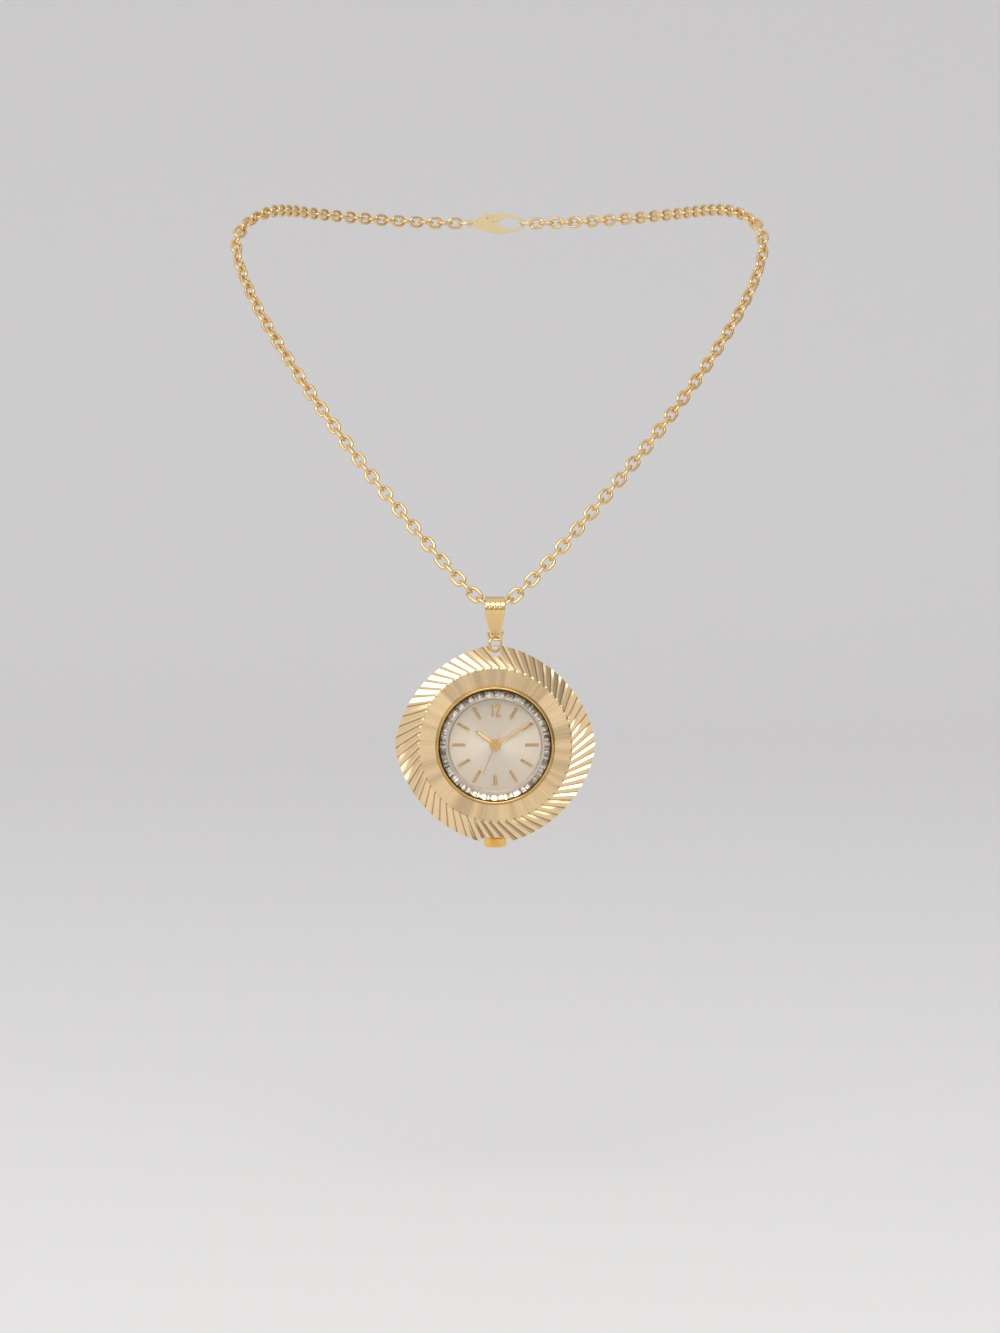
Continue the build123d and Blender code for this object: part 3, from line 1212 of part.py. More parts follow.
RING_REACH = NAPE_HALF_GAP - END_RING_RADIUS
CLASP_LEFT = -RING_REACH + END_RING_WIRE / 2 - CLASP_EYE_BORE + CLASP_EYE_RADIUS - TRIGGER_CLEAR
CLASP_RIGHT = RING_REACH + END_RING_WIRE / 2 + TRIGGER_CLEAR + HOOK_WALL


def clasp_outline():
    half_long = (CLASP_RIGHT - CLASP_LEFT) / 2
    return Pos((CLASP_RIGHT + CLASP_LEFT) / 2, 0) * Ellipse(half_long, CLASP_HALF_TALL)


def clasp_opening():
    middle = CLASP_RIGHT - HOOK_WALL - CLASP_OPEN_LONG / 2
    return Pos(middle, 0) * Ellipse(CLASP_OPEN_LONG / 2, CLASP_OPEN_HALF)


def slab(face, thick):
    return extrude(face, amount=thick / 2, both=True)


def make_clasp_body():
    body = slab(clasp_outline() - clasp_opening(), CLASP_THICK)
    half = CLASP_THICK / 2
    plan = make_face(Polyline(
        (CLASP_LEFT - OVERRUN, -CLASP_EYE_THICK / 2), (CLASP_LEFT + OVERRUN, -half),
        (TRIGGER_RIGHT - OVERRUN, -half), (CLASP_RIGHT, -HOOK_END_THICK / 2),
        (CLASP_RIGHT, HOOK_END_THICK / 2), (TRIGGER_RIGHT - OVERRUN, half),
        (CLASP_LEFT + OVERRUN, half), (CLASP_LEFT - OVERRUN, CLASP_EYE_THICK / 2), close=True))
    body = body & (Plane.XZ * extrude(plan, amount=CLASP_HALF_TALL + OVERRUN, both=True))
    eye_x = CLASP_LEFT - CLASP_EYE_RADIUS + TRIGGER_CLEAR
    body = body + Pos(eye_x, 0) * slab(Circle(CLASP_EYE_RADIUS), CLASP_EYE_THICK)
    body = body - Pos(eye_x, 0) * slab(Circle(CLASP_EYE_BORE), CLASP_THICK)
    top = CLASP_HALF_TALL + OVERRUN
    floor = TRIGGER_FLOOR - TRIGGER_CLEAR
    slot = TRIGGER_THICK + 2 * FIT
    mouth = make_face(Polyline(
        (CHEEK_RIGHT, floor), (CHEEK_RIGHT, top), (TRIGGER_RIGHT + TRIGGER_CLEAR, top),
        (TRIGGER_RIGHT + TRIGGER_CLEAR, floor), close=True))
    body = body - slab(mouth, CLASP_THICK + OVERRUN)
    relief = make_face(Polyline(
        (TRIGGER_LEFT - TRIGGER_CLEAR, LEAF_START[1] - LEAF_THICK), (TRIGGER_LEFT - TRIGGER_CLEAR, top),
        (CHEEK_RIGHT, top), (0.0, floor), (CLASP_OPEN_HALF, -CLASP_OPEN_HALF / 2),
        (CHEEK_RIGHT, LEAF_START[1] - LEAF_THICK), close=True))
    body = body - slab(relief, slot)
    for step in range(TRIGGER_STEPS + 1):
        body = body - slab(trigger_room(TRIGGER_SWING * step / TRIGGER_STEPS), slot)
    return body - Pos(*TRIGGER_PIN_AT) * slab(Circle(TRIGGER_PIN_RADIUS), CLASP_THICK + OVERRUN)


def trigger_outline():
    top = CLASP_HALF_TALL + OVERRUN
    band = make_face(Polyline(
        (TRIGGER_LEFT, TRIGGER_FLOOR), (TRIGGER_LEFT, top), (TRIGGER_RIGHT, top),
        (TRIGGER_RIGHT, TRIGGER_FLOOR), close=True))
    face = (clasp_outline() & band) - clasp_opening()
    return face + Pos(*TRIGGER_KNOB_AT) * Circle(TRIGGER_KNOB)


def trigger_room(turn):
    """The trigger's outline with a margin, swung inwards about its pin."""
    across, up = TRIGGER_PIN_AT
    wide = offset(trigger_outline(), amount=TRIGGER_MARGIN)
    return Pos(across, up) * Rot(0, 0, -turn) * Pos(-across, -up) * wide


def make_clasp_trigger():
    face = trigger_outline() - Pos(*TRIGGER_PIN_AT) * Circle(TRIGGER_PIN_RADIUS + FIT)
    return slab(face, TRIGGER_THICK)


def make_clasp_pin():
    return Pos(*TRIGGER_PIN_AT) * slab(Circle(TRIGGER_PIN_RADIUS - SEAT / 2), CLASP_THICK)


def make_clasp_spring():
    return bar(LEAF_THICK, LEAF_START, LEAF_END, -TRIGGER_THICK / 4, TRIGGER_THICK / 4)


def end_ring(side):
    ring_body = Rot(90, 0, 0) * Torus(END_RING_RADIUS, END_RING_WIRE / 2)
    return Pos(side * NAPE_HALF_GAP, 0, 0) * ring_body

HEAD = Pos(0, HEAD_DEPTH, HEAD_HEIGHT) * Rot(90, 0, 0)
NAPE = Pos(0, ROUTE[0][1], ROUTE[0][2]) * Rot(90, 0, 0)


def head_pieces():
    return {
        "bail": make_bail(), "bail_link": make_bail_link(), "jump_ring": make_jump_ring(),
        "bezel_frame": make_bezel_frame(), "crystal_ring": make_crystal_ring(), "crystal": make_crystal(),
        "rehaut_ring": make_rehaut(), "case_body": make_case_body(), "case_back": make_case_back(),
        "case_back_gasket": make_gasket(), "crown_tube": make_crown_tube(), "crown": make_crown(),
        "crown_gasket": make_crown_gasket(), "winding_stem": make_stem(),
        "winding_pinion": make_winding_pinion(), "clutch_wheel": make_clutch(),
        "setting_lever": make_setting_lever(), "dial": make_dial(), "hour_markers": make_hour_markers(),
        "numeral_twelve": make_numeral(), "hour_hand": make_hour_hand(), "minute_hand": make_minute_hand(),
        "second_hand": make_second_hand(), "movement_ring": make_movement_ring(),
        "main_plate": make_main_plate(), "train_bridge": make_bridge(), "bridge_pillars": make_pillars(),
        "bridge_screws": make_bridge_screws(), "barrel": make_barrel(), "mainspring": make_mainspring(),
        "barrel_arbor": make_barrel_arbor(), "ratchet_wheel": make_ratchet_wheel(),
        "crown_wheel": make_crown_wheel(), "crown_wheel_core": make_crown_wheel_core(),
        "click": make_click(), "click_spring": make_click_spring(), "centre_wheel": make_centre_wheel(),
        "cannon_pinion": make_cannon_pinion(), "minute_wheel": make_minute_wheel(),
        "hour_wheel": make_hour_wheel(), "third_wheel": make_third_wheel(),
        "fourth_wheel": make_fourth_wheel(), "escape_wheel": make_escape_wheel(),
        "pallet_fork": make_pallet_fork(), "balance_wheel": make_balance_wheel(),
        "hairspring": make_hairspring(), "balance_cock": make_balance_cock(),
    }


def clasp_pieces():
    return {
        "clasp_body": make_clasp_body(), "clasp_trigger": make_clasp_trigger(),
        "clasp_pin": make_clasp_pin(), "clasp_spring": make_clasp_spring(),
        "clasp_ring": end_ring(-1), "catch_ring": end_ring(1),
    }


def main():
    os.makedirs("parts", exist_ok=True)
    nodes = {name: HEAD * shape for name, shape in head_pieces().items()}
    nodes.update({name: NAPE * shape for name, shape in clasp_pieces().items()})
    nodes.update(make_chain())
    for name, shape in nodes.items():
        export_step(shape, "parts/" + name + ".step")
    print("head centre at", round(HEAD_DEPTH, 3), round(HEAD_HEIGHT, 3), "pieces", len(nodes))


main()
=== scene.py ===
import math

import bmesh
import bpy
from bpy.props import FloatProperty, FloatVectorProperty, IntProperty, PointerProperty
from bpy.types import Operator, Panel, PropertyGroup
from mathutils import Matrix, Vector


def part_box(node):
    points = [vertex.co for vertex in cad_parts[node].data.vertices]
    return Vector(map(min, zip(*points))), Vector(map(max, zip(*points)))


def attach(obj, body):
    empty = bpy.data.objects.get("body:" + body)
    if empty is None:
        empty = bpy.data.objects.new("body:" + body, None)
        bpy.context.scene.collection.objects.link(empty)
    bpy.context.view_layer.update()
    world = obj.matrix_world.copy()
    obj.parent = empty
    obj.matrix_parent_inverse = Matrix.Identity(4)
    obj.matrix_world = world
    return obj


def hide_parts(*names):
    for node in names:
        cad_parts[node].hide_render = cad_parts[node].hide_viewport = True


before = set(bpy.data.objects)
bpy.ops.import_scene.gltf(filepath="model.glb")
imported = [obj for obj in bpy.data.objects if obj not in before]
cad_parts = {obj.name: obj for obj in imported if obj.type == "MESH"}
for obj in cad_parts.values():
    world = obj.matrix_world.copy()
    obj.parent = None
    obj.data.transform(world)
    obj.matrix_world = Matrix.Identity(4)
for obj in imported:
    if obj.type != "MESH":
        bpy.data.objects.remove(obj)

# Pendant watch on a cable chain. Metres, +Z up, the dial faces -Y.
# The watch head is drawn in its own frame: x right, y up, z towards the viewer,
# with the top of the dial at z = 0, and is then set where the solids are.

bl_info = {
    "name": "Pendant watch",
    "version": (1, 0, 0),
    "blender": (4, 5, 0),
    "location": "3D View > Sidebar > Pendant watch",
    "description": "Dresses a pendant watch, its bail and its chain",
    "category": "Object",
}

MM = 0.001
TAU = math.tau
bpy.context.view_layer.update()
DIAL_LOW, DIAL_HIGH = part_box("dial")
HEAD = Matrix.Translation((0.0, DIAL_LOW[1], (DIAL_LOW[2] + DIAL_HIGH[2]) / 2)) @ Matrix.Rotation(
    math.radians(90.0), 4, "X")
HEAD_CENTRE = HEAD.translation

# Radii that both the shapes and the materials use
CONE_RADIUS = 15.3 * MM
CRYSTAL_RADIUS = 10.95 * MM
DIAL_RADIUS = 9.6 * MM

# Starting values of the panel and of the node trees
LINK_LONG = 0.00375
LINK_WIDE = 0.0027
LINK_WIRE = 0.00066
FLUTE_COUNT = 60
FLUTE_DEPTH = 0.0004

# Angles in degrees past which the edges of a piece stay sharp
RIM_EDGES = 9.0
HAND_EDGES = 12.0
CROWN_EDGES = 12.0
CASE_EDGES = 25.0
NUMERAL_EDGES = 30.0
STAGE_EDGES = 30.0
BAIL_EDGES = 38.0
LATHE_EDGES = 40.0
RING_EDGES = 50.0

# Route of the chain from the clasp's ring down to the bail and back up, as control points
ROUTE = (
    (-0.0070, 0.0582, 0.0090), (-0.0134, 0.0564, 0.0090), (-0.0230, 0.0506, 0.0092),
    (-0.0315, 0.0430, 0.0095), (-0.0385, 0.0330, 0.0097), (-0.0430, 0.0220, 0.0098),
    (-0.0456, 0.0120, 0.0096), (-0.0482, 0.0034, 0.0088), (-0.0520, -0.0040, 0.0066),
    (-0.0544, -0.0094, 0.0026), (-0.0537, -0.0128, -0.0020), (-0.0512, -0.0172, -0.0082),
    (-0.0475, -0.0218, -0.0150), (-0.0429, -0.0266, -0.0222), (-0.0378, -0.0314, -0.0296),
    (-0.0322, -0.0363, -0.0372), (-0.0263, -0.0410, -0.0448), (-0.0201, -0.0453, -0.0522),
    (-0.0139, -0.0491, -0.0594), (-0.0084, -0.0520, -0.0656), (-0.0044, -0.0536, -0.0696),
    (-0.0014, -0.0540, -0.0720), (0.0014, -0.0540, -0.0720), (0.0045, -0.0536, -0.0696),
    (0.0088, -0.0520, -0.0654), (0.0144, -0.0491, -0.0592), (0.0207, -0.0453, -0.0520),
    (0.0272, -0.0410, -0.0447), (0.0334, -0.0363, -0.0371), (0.0393, -0.0314, -0.0295),
    (0.0447, -0.0266, -0.0220), (0.0495, -0.0218, -0.0146), (0.0534, -0.0172, -0.0076),
    (0.0559, -0.0126, -0.0008), (0.0559, -0.0086, 0.0042), (0.0532, -0.0032, 0.0076),
    (0.0494, 0.0040, 0.0092), (0.0464, 0.0126, 0.0097), (0.0434, 0.0220, 0.0098),
    (0.0388, 0.0330, 0.0097), (0.0317, 0.0430, 0.0095), (0.0230, 0.0506, 0.0092),
    (0.0134, 0.0564, 0.0090), (0.0070, 0.0582, 0.0090),
)
ROUTE_STEPS = 40
CHAIN_NODES = ("chain_front_left", "chain_back_left", "chain_front_right", "chain_back_right")

# Shares of the way from the bail to the clasp, and the turn of the links' faces there
TURN_STOPS_SHARES = ((0.0, 0.0), (0.2, 0.0), (0.5, 45.0), (0.66, 90.0), (0.85, 180.0), (1.0, 180.0))


class ChainSizes(PropertyGroup):
    link_long: FloatProperty(name="Link length", description="Outer length of a link",
                             default=LINK_LONG, unit="LENGTH", precision=5)
    link_wide: FloatProperty(name="Link width", description="Outer width of a link",
                             default=LINK_WIDE, unit="LENGTH", precision=5)
    wire: FloatProperty(name="Wire", description="Thickness of a link's wire",
                        default=LINK_WIRE, unit="LENGTH", precision=5)
    pitch: FloatProperty(name="Pitch", description="Distance from link to link, rounded to fit the run",
                         default=0.00235, unit="LENGTH", precision=5)


class FrameSizes(PropertyGroup):
    half: FloatProperty(name="Half width", description="Centre to a tip of the soft square",
                        default=0.02, unit="LENGTH", precision=5)
    side_radius: FloatProperty(name="Side radius", description="Radius of the square's bulging sides",
                               default=0.0239, unit="LENGTH", precision=5)
    flute_count: IntProperty(name="Flutes", description="Flutes round the rim",
                             default=FLUTE_COUNT, min=12)
    flute_turn: FloatProperty(name="Flute turn", description="Angle between a flute and the radius",
                              default=math.radians(44.0), subtype="ANGLE")
    flute_depth: FloatProperty(name="Flute depth", description="Depth of a flute at the outer edge",
                               default=FLUTE_DEPTH, unit="LENGTH", precision=5)


class BailSizes(PropertyGroup):
    flute_count: IntProperty(name="Flutes", description="Hollows down the front of the bail", default=4)
    flute_depth: FloatProperty(name="Flute depth", description="Depth of those hollows",
                               default=0.00016, unit="LENGTH", precision=5)


class DialSizes(PropertyGroup):
    marker_inner: FloatProperty(name="Marker start", description="Radius where a marker starts",
                                default=0.0059, unit="LENGTH", precision=5)
    marker_outer: FloatProperty(name="Marker end", description="Radius where a marker ends",
                                default=0.00865, unit="LENGTH", precision=5)
    marker_wide: FloatProperty(name="Marker width", description="Width of a marker",
                               default=0.00055, unit="LENGTH", precision=5)


class GoldColours(PropertyGroup):
    chain: FloatVectorProperty(name="Chain", description="Gold of the chain, the bail and the case",
                               default=(0.90, 0.63, 0.29), size=3, subtype="COLOR")
    rim: FloatVectorProperty(name="Frame", description="Pale gold of the fluted frame",
                             default=(0.92, 0.68, 0.39), size=3, subtype="COLOR")
    deep: FloatVectorProperty(name="Crown", description="Deep gold of the crown and the hands",
                              default=(0.90, 0.58, 0.17), size=3, subtype="COLOR")
    collar: FloatVectorProperty(name="Crystal ring", description="Dark gold of the crystal's ring",
                                default=(0.66, 0.42, 0.13), size=3, subtype="COLOR")
    markers: FloatVectorProperty(name="Markers", description="Gold of the hour markers and the numeral",
                                 default=(0.72, 0.47, 0.18), size=3, subtype="COLOR")


class Formula:
    """A value in a node tree that takes part in sums written in plain signs."""

    def __init__(self, tree, socket):
        self.tree = tree
        self.socket = socket

    def maths(self, operation, *others):
        node = self.tree.nodes.new("ShaderNodeMath")
        node.operation = operation
        for slot, value in zip(node.inputs, (self, *others)):
            if isinstance(value, Formula):
                self.tree.links.new(value.socket, slot)
            else:
                slot.default_value = value
        return Formula(self.tree, node.outputs[0])

    def __add__(self, other):
        return self.maths("ADD", other)

    def __sub__(self, other):
        return self.maths("SUBTRACT", other)

    def __mul__(self, other):
        return self.maths("MULTIPLY", other)

    def __truediv__(self, other):
        return self.maths("DIVIDE", other)

    def rest(self):
        """What is missing to one."""
        return self.maths("MULTIPLY_ADD", -1.0, 1.0)


def geometry_tree(name, inputs):
    """A node group with a geometry input and output, and the named number inputs."""
    tree = bpy.data.node_groups.new(name, "GeometryNodeTree")
    tree.interface.new_socket("Geometry", in_out="INPUT", socket_type="NodeSocketGeometry")
    tree.interface.new_socket("Geometry", in_out="OUTPUT", socket_type="NodeSocketGeometry")
    for label, kind, value in inputs:
        socket = tree.interface.new_socket(label, in_out="INPUT", socket_type=kind)
        if value is not None:
            socket.default_value = value
    entry = tree.nodes.new("NodeGroupInput")
    end = tree.nodes.new("NodeGroupOutput")
    return tree, entry, end


def set_inputs(tree, node, inputs):
    """Links a node's inputs from sockets, or sets them to values."""
    for key, value in inputs.items():
        slot = node.inputs[key]
        if isinstance(value, Formula):
            tree.links.new(value.socket, slot)
        elif isinstance(value, bpy.types.NodeSocket):
            tree.links.new(value, slot)
        else:
            slot.default_value = value


def add_node(tree, kind, inputs=None, **settings):
    """A new node, with its settings and then its inputs."""
    node = tree.nodes.new(kind)
    for key, value in settings.items():
        setattr(node, key, value)
    set_inputs(tree, node, inputs or {})
    return node


def finish_tree(tree, end, geometry):
    """Ends a tree in real geometry with one material."""
    entry = next(node for node in tree.nodes if node.type == "GROUP_INPUT")
    real = add_node(tree, "GeometryNodeRealizeInstances", {"Geometry": geometry})
    dressed = add_node(tree, "GeometryNodeSetMaterial", {
        "Geometry": real.outputs[0], "Material": entry.outputs["Material"]})
    tree.links.new(dressed.outputs[0], end.inputs[0])


def bake_nodes(piece, tree, values):
    """Runs a node tree on a piece with these inputs and keeps the result as a plain mesh."""
    modifier = piece.modifiers.new(tree.name, "NODES")
    modifier.node_group = tree
    for item in tree.interface.items_tree:
        if item.in_out == "INPUT" and item.name in values:
            modifier[item.identifier] = values[item.name]
    piece.update_tag()
    bpy.context.view_layer.update()
    evaluated = piece.evaluated_get(bpy.context.evaluated_depsgraph_get())
    plain = bpy.data.meshes.new_from_object(evaluated)
    piece.modifiers.remove(modifier)
    piece.data = plain


def new_piece(name, points, faces, place=HEAD):
    """An object at the origin whose mesh is drawn in the head's frame and set in place."""
    mesh = bpy.data.meshes.new(name)
    mesh.from_pydata([place @ Vector(point) for point in points], [], faces)
    mesh.update()
    piece = bpy.data.objects.new(name, mesh)
    bpy.context.scene.collection.objects.link(piece)
    return piece


def smooth(piece, angle):
    """Smooth shading, with edges sharper than the angle, in degrees, kept sharp."""
    piece.data.shade_smooth()
    piece.data.set_sharp_from_angle(angle=math.radians(angle))
    return piece


def set_vectors(piece, name, values):
    """Gives each point of a piece its own vector, under this name."""
    attribute = piece.data.attributes.new(name, "FLOAT_VECTOR", "POINT")
    for item, value in zip(attribute.data, values):
        item.vector = value


def seat(piece, body, material=None, nodes=()):
    """Gives a piece its material, and puts it on its body for the solids it stands for."""
    if material:
        piece.data.materials.clear()
        piece.data.materials.append(material)
    if nodes:
        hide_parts(*nodes)
    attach(piece, body)


def dress(node, material):
    """A solid whose shape is right keeps it, and gets this material."""
    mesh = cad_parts[node].data
    mesh.materials.clear()
    mesh.materials.append(material)


def merged_copy(node, name, angle):
    """A copy of a solid's mesh with its loose triangles joined, for smooth reflections."""
    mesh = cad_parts[node].data.copy()
    mesh.name = name
    piece = bpy.data.objects.new(name, mesh)
    bpy.context.scene.collection.objects.link(piece)
    if "custom_normal" in mesh.attributes:
        mesh.attributes.remove(mesh.attributes["custom_normal"])
    shell = bmesh.new()
    shell.from_mesh(mesh)
    bmesh.ops.remove_doubles(shell, verts=shell.verts, dist=MM / 1000)
    shell.to_mesh(mesh)
    shell.free()
    return smooth(piece, angle)


# Rings of points and the faces between them

LATHE_STEPS = 128


def circle(radius, at, sides):
    """Corners of a many-sided outline round a centre."""
    turns = [index * TAU / sides for index in range(sides)]
    return [(at[0] + radius * math.cos(turn), at[1] + radius * math.sin(turn)) for turn in turns]


def level_ring(radius, height, steps, shift=0.0):
    """Points evenly round the head's axis, moved on by a share of a step."""
    turns = [(step + shift) * TAU / steps for step in range(steps)]
    return [(radius * math.cos(turn), radius * math.sin(turn), height) for turn in turns]


def ring_faces(count, size, closed=True):
    """Faces between rings of points that follow one another, back to the first ring if closed."""
    faces = []
    for ring in range(count if closed else count - 1):
        after = (ring + 1) % count
        for index in range(size):
            beside = (index + 1) % size
            faces.append((ring * size + index, ring * size + beside,
                          after * size + beside, after * size + index))
    return faces


def lathe(profile, steps=LATHE_STEPS):
    """A closed outline of radius and height pairs, turned round the head's axis."""
    points, faces = [], []
    count = len(profile)
    for step in range(steps):
        turn = step * TAU / steps
        for radius, height in profile:
            points.append((radius * math.cos(turn), radius * math.sin(turn), height))
    for step in range(steps):
        after = (step + 1) % steps
        for index in range(count):
            beside = (index + 1) % count
            faces.append((step * count + index, after * count + index,
                          after * count + beside, step * count + beside))
    return points, faces


def outward(piece):
    """Joins points that coincide and turns all faces to point outwards."""
    shell = bmesh.new()
    shell.from_mesh(piece.data)
    bmesh.ops.remove_doubles(shell, verts=shell.verts, dist=MM / 1000)
    bmesh.ops.recalc_face_normals(shell, faces=shell.faces)
    shell.to_mesh(piece.data)
    shell.free()


# Materials

# Where most values of a noise lie, and the spans that values are mapped from or to
NOISE_SPAN = (0.3, 0.7)
WHOLE_SPAN = (0.0, 1.0)
SIGNED_SPAN = (-1.0, 1.0)

# Middle roughness of each polished gold, its darker tone and how wear changes it
POLISH = {"chain_gold": 0.13, "bail_gold": 0.1, "collar_gold": 0.12, "marker_gold": 0.18,
          "hand_gold": 0.14, "deep_gold": 0.12, "wheel_brass": 0.2}
POLISH_DARK_SHARE = 0.93
POLISH_LOW_SHARE = 0.75
POLISH_HIGH_SHARE = 1.5
WEAR_SPAN = (0.35, 0.75)
WAVINESS = 0.05
WAVE_DEPTH = 0.02 * MM

# Painted shade and reflections on the rim: wide wedges of darker tone on the cone stand in for its
# reflections, finer brushing streaks darken it too, and a painted dark line down each groove stands in for
# the flutes' dark reflections
PAINTED_WEDGE_SPAN = (0.45, 0.6)
PAINTED_WEDGE_SHADES = (0.0, 0.7)
STREAK_SPAN = (0.35, 0.7)
STREAK_SHADES = (0.0, 0.4)
CONE_DARK_SHARE = 0.62
CONE_BLEND = 0.1 * MM
CONE_ROUGHNESS = (0.24, 0.38)
CONE_GRAIN = 0.55
CONE_GRAIN_DEPTH = 0.015 * MM
FLUTE_ROUGHNESS = 0.12
PAINTED_LINE_SPAN = (0.72, 1.0)
PAINTED_LINE_SHARE = 0.3

# Turned metals, and the painted highlights and painted shade on the ledge of the case
STEELS = {"pin_steel": ((0.70, 0.69, 0.67), 0.25), "back_steel": ((0.72, 0.71, 0.70), 0.24),
          "work_steel": ((0.62, 0.62, 0.64), 0.2)}
BRASS = (0.86, 0.66, 0.34)
TURNING_RINGS = 9000.0
TURNED_DARK_SHARE = 0.9
TURNED_LOW_SHARE = 0.8
TURNED_HIGH_SHARE = 1.3
GRAIN_STRENGTH = 0.12
GRAIN_DEPTH = 0.01 * MM
CASE_ROUGHNESS = 0.22
LEDGE_LEVEL = 1.6 * MM
PAINTED_PATCH_SPAN = (0.42, 0.58)
LEDGE_PAINTED_HIGHLIGHT = (0.95, 0.86, 0.73)
LEDGE_PAINTED_SHADE = (0.30, 0.21, 0.13)

# Dial, ring round it, crystal, seals, plates and springs
DIAL_PALE = (0.82, 0.73, 0.61)
DIAL_DARK = (0.74, 0.65, 0.53)
DIAL_RIM = (0.69, 0.59, 0.46)
DIAL_ROUGHNESS = (0.34, 0.46)
REHAUT_TONES = ((0.54, 0.46, 0.40), (0.46, 0.39, 0.34))
REHAUT_ROUGHNESS = (0.32, 0.45)
CRYSTAL_COLOUR = (0.985, 0.985, 0.98, 1.0)
CRYSTAL_MARKS_SPAN = (0.3, 0.8)
CRYSTAL_ROUGHNESS = (0.0, 0.035)
RUBBER_TONES = ((0.03, 0.03, 0.03), (0.055, 0.055, 0.055))
NICKEL_TONES = ((0.74, 0.72, 0.68), (0.62, 0.60, 0.57))
NICKEL_ROUGHNESS = (0.22, 0.36)
NICKEL_RINGS = 40.0
NICKEL_DEPTH = 0.005 * MM
BLUE_TONES = ((0.07, 0.11, 0.36), (0.12, 0.16, 0.42))
BLUE_ROUGHNESS = (0.16, 0.3)
RUBBER_GRAIN = 0.2
NICKEL_GRAIN = 0.15


def new_material(name):
    """A material whose tree holds one shader, with that tree and that shader."""
    material = bpy.data.materials.new(name)
    material.use_nodes = True
    tree = material.node_tree
    tree.nodes.clear()
    shader = tree.nodes.new("ShaderNodeBsdfPrincipled")
    surface = tree.nodes.new("ShaderNodeOutputMaterial")
    tree.links.new(shader.outputs[0], surface.inputs[0])
    return material, tree, shader


def from_head(tree):
    """Object coordinates counted from the centre of the dial."""
    coordinates = add_node(tree, "ShaderNodeTexCoord")
    mapping = add_node(tree, "ShaderNodeMapping", {
        "Vector": coordinates.outputs["Object"], "Location": -HEAD_CENTRE})
    return mapping.outputs[0]


def noise(tree, vector, scale, detail=2.0, roughness=0.5):
    """Noise with this many patches to a metre, unless the vector is of another kind."""
    node = add_node(tree, "ShaderNodeTexNoise", {
        "Vector": vector, "Scale": scale, "Detail": detail, "Roughness": roughness})
    return node.outputs["Fac"]


def remap(tree, value, span, to_span):
    """A value carried from one span to another, and held at its ends."""
    node = add_node(tree, "ShaderNodeMapRange", {
        "Value": value, "From Min": span[0], "From Max": span[1],
        "To Min": to_span[0], "To Max": to_span[1]})
    return node.outputs[0]


def blend_colours(tree, share, first, second):
    """A mix of two colours, each of them a socket or three numbers."""
    ends = [(*colour, 1.0) if isinstance(colour, tuple) else colour for colour in (first, second)]
    node = add_node(tree, "ShaderNodeMix", {"Factor": share}, data_type="RGBA")
    set_inputs(tree, node, {6: ends[0], 7: ends[1]})
    return node.outputs[2]


def bump(tree, shader, height, strength, distance):
    node = add_node(tree, "ShaderNodeBump", {
        "Height": height, "Strength": strength, "Distance": distance})
    tree.links.new(node.outputs[0], shader.inputs["Normal"])


def darker(colour, share):
    return tuple(part * share for part in colour)


def off_axis(tree):
    """Coordinates from the dial's centre, flattened onto the dial."""
    flat = add_node(tree, "ShaderNodeVectorMath", {0: from_head(tree), 1: (1.0, 0.0, 1.0)},
                    operation="MULTIPLY")
    return flat.outputs[0]


def spokes(tree, scale, detail=3.0):
    """Noise that runs out from the dial's centre, the same all along each radius."""
    direction = add_node(tree, "ShaderNodeVectorMath", {0: off_axis(tree)}, operation="NORMALIZE")
    return noise(tree, direction.outputs[0], scale, detail, roughness=0.65)


def reach(tree):
    """Distance from the head's axis."""
    return add_node(tree, "ShaderNodeVectorMath", {0: off_axis(tree)}, operation="LENGTH").outputs["Value"]


def across_brushing(tree, shader):
    """Stretches the highlights of a surface that is brushed out from the dial's centre."""
    tangent = add_node(tree, "ShaderNodeTangent", direction_type="UV_MAP", uv_map="brushing")
    tree.links.new(tangent.outputs[0], shader.inputs["Tangent"])


def polished_gold(name, colour):
    """Plated gold with faint wear and a slow waviness."""
    material, tree, shader = new_material(name)
    place = from_head(tree)
    wear = noise(tree, place, scale=900.0, detail=4.0, roughness=0.6)
    tone = remap(tree, noise(tree, place, scale=160.0), NOISE_SPAN, WHOLE_SPAN)
    worn = (POLISH[name] * POLISH_LOW_SHARE, POLISH[name] * POLISH_HIGH_SHARE)
    set_inputs(tree, shader, {
        "Base Color": blend_colours(tree, tone, colour, darker(colour, POLISH_DARK_SHARE)),
        "Roughness": remap(tree, wear, WEAR_SPAN, worn), "Metallic": 1.0})
    bump(tree, shader, noise(tree, place, scale=420.0, detail=3.0), WAVINESS, WAVE_DEPTH)
    return material


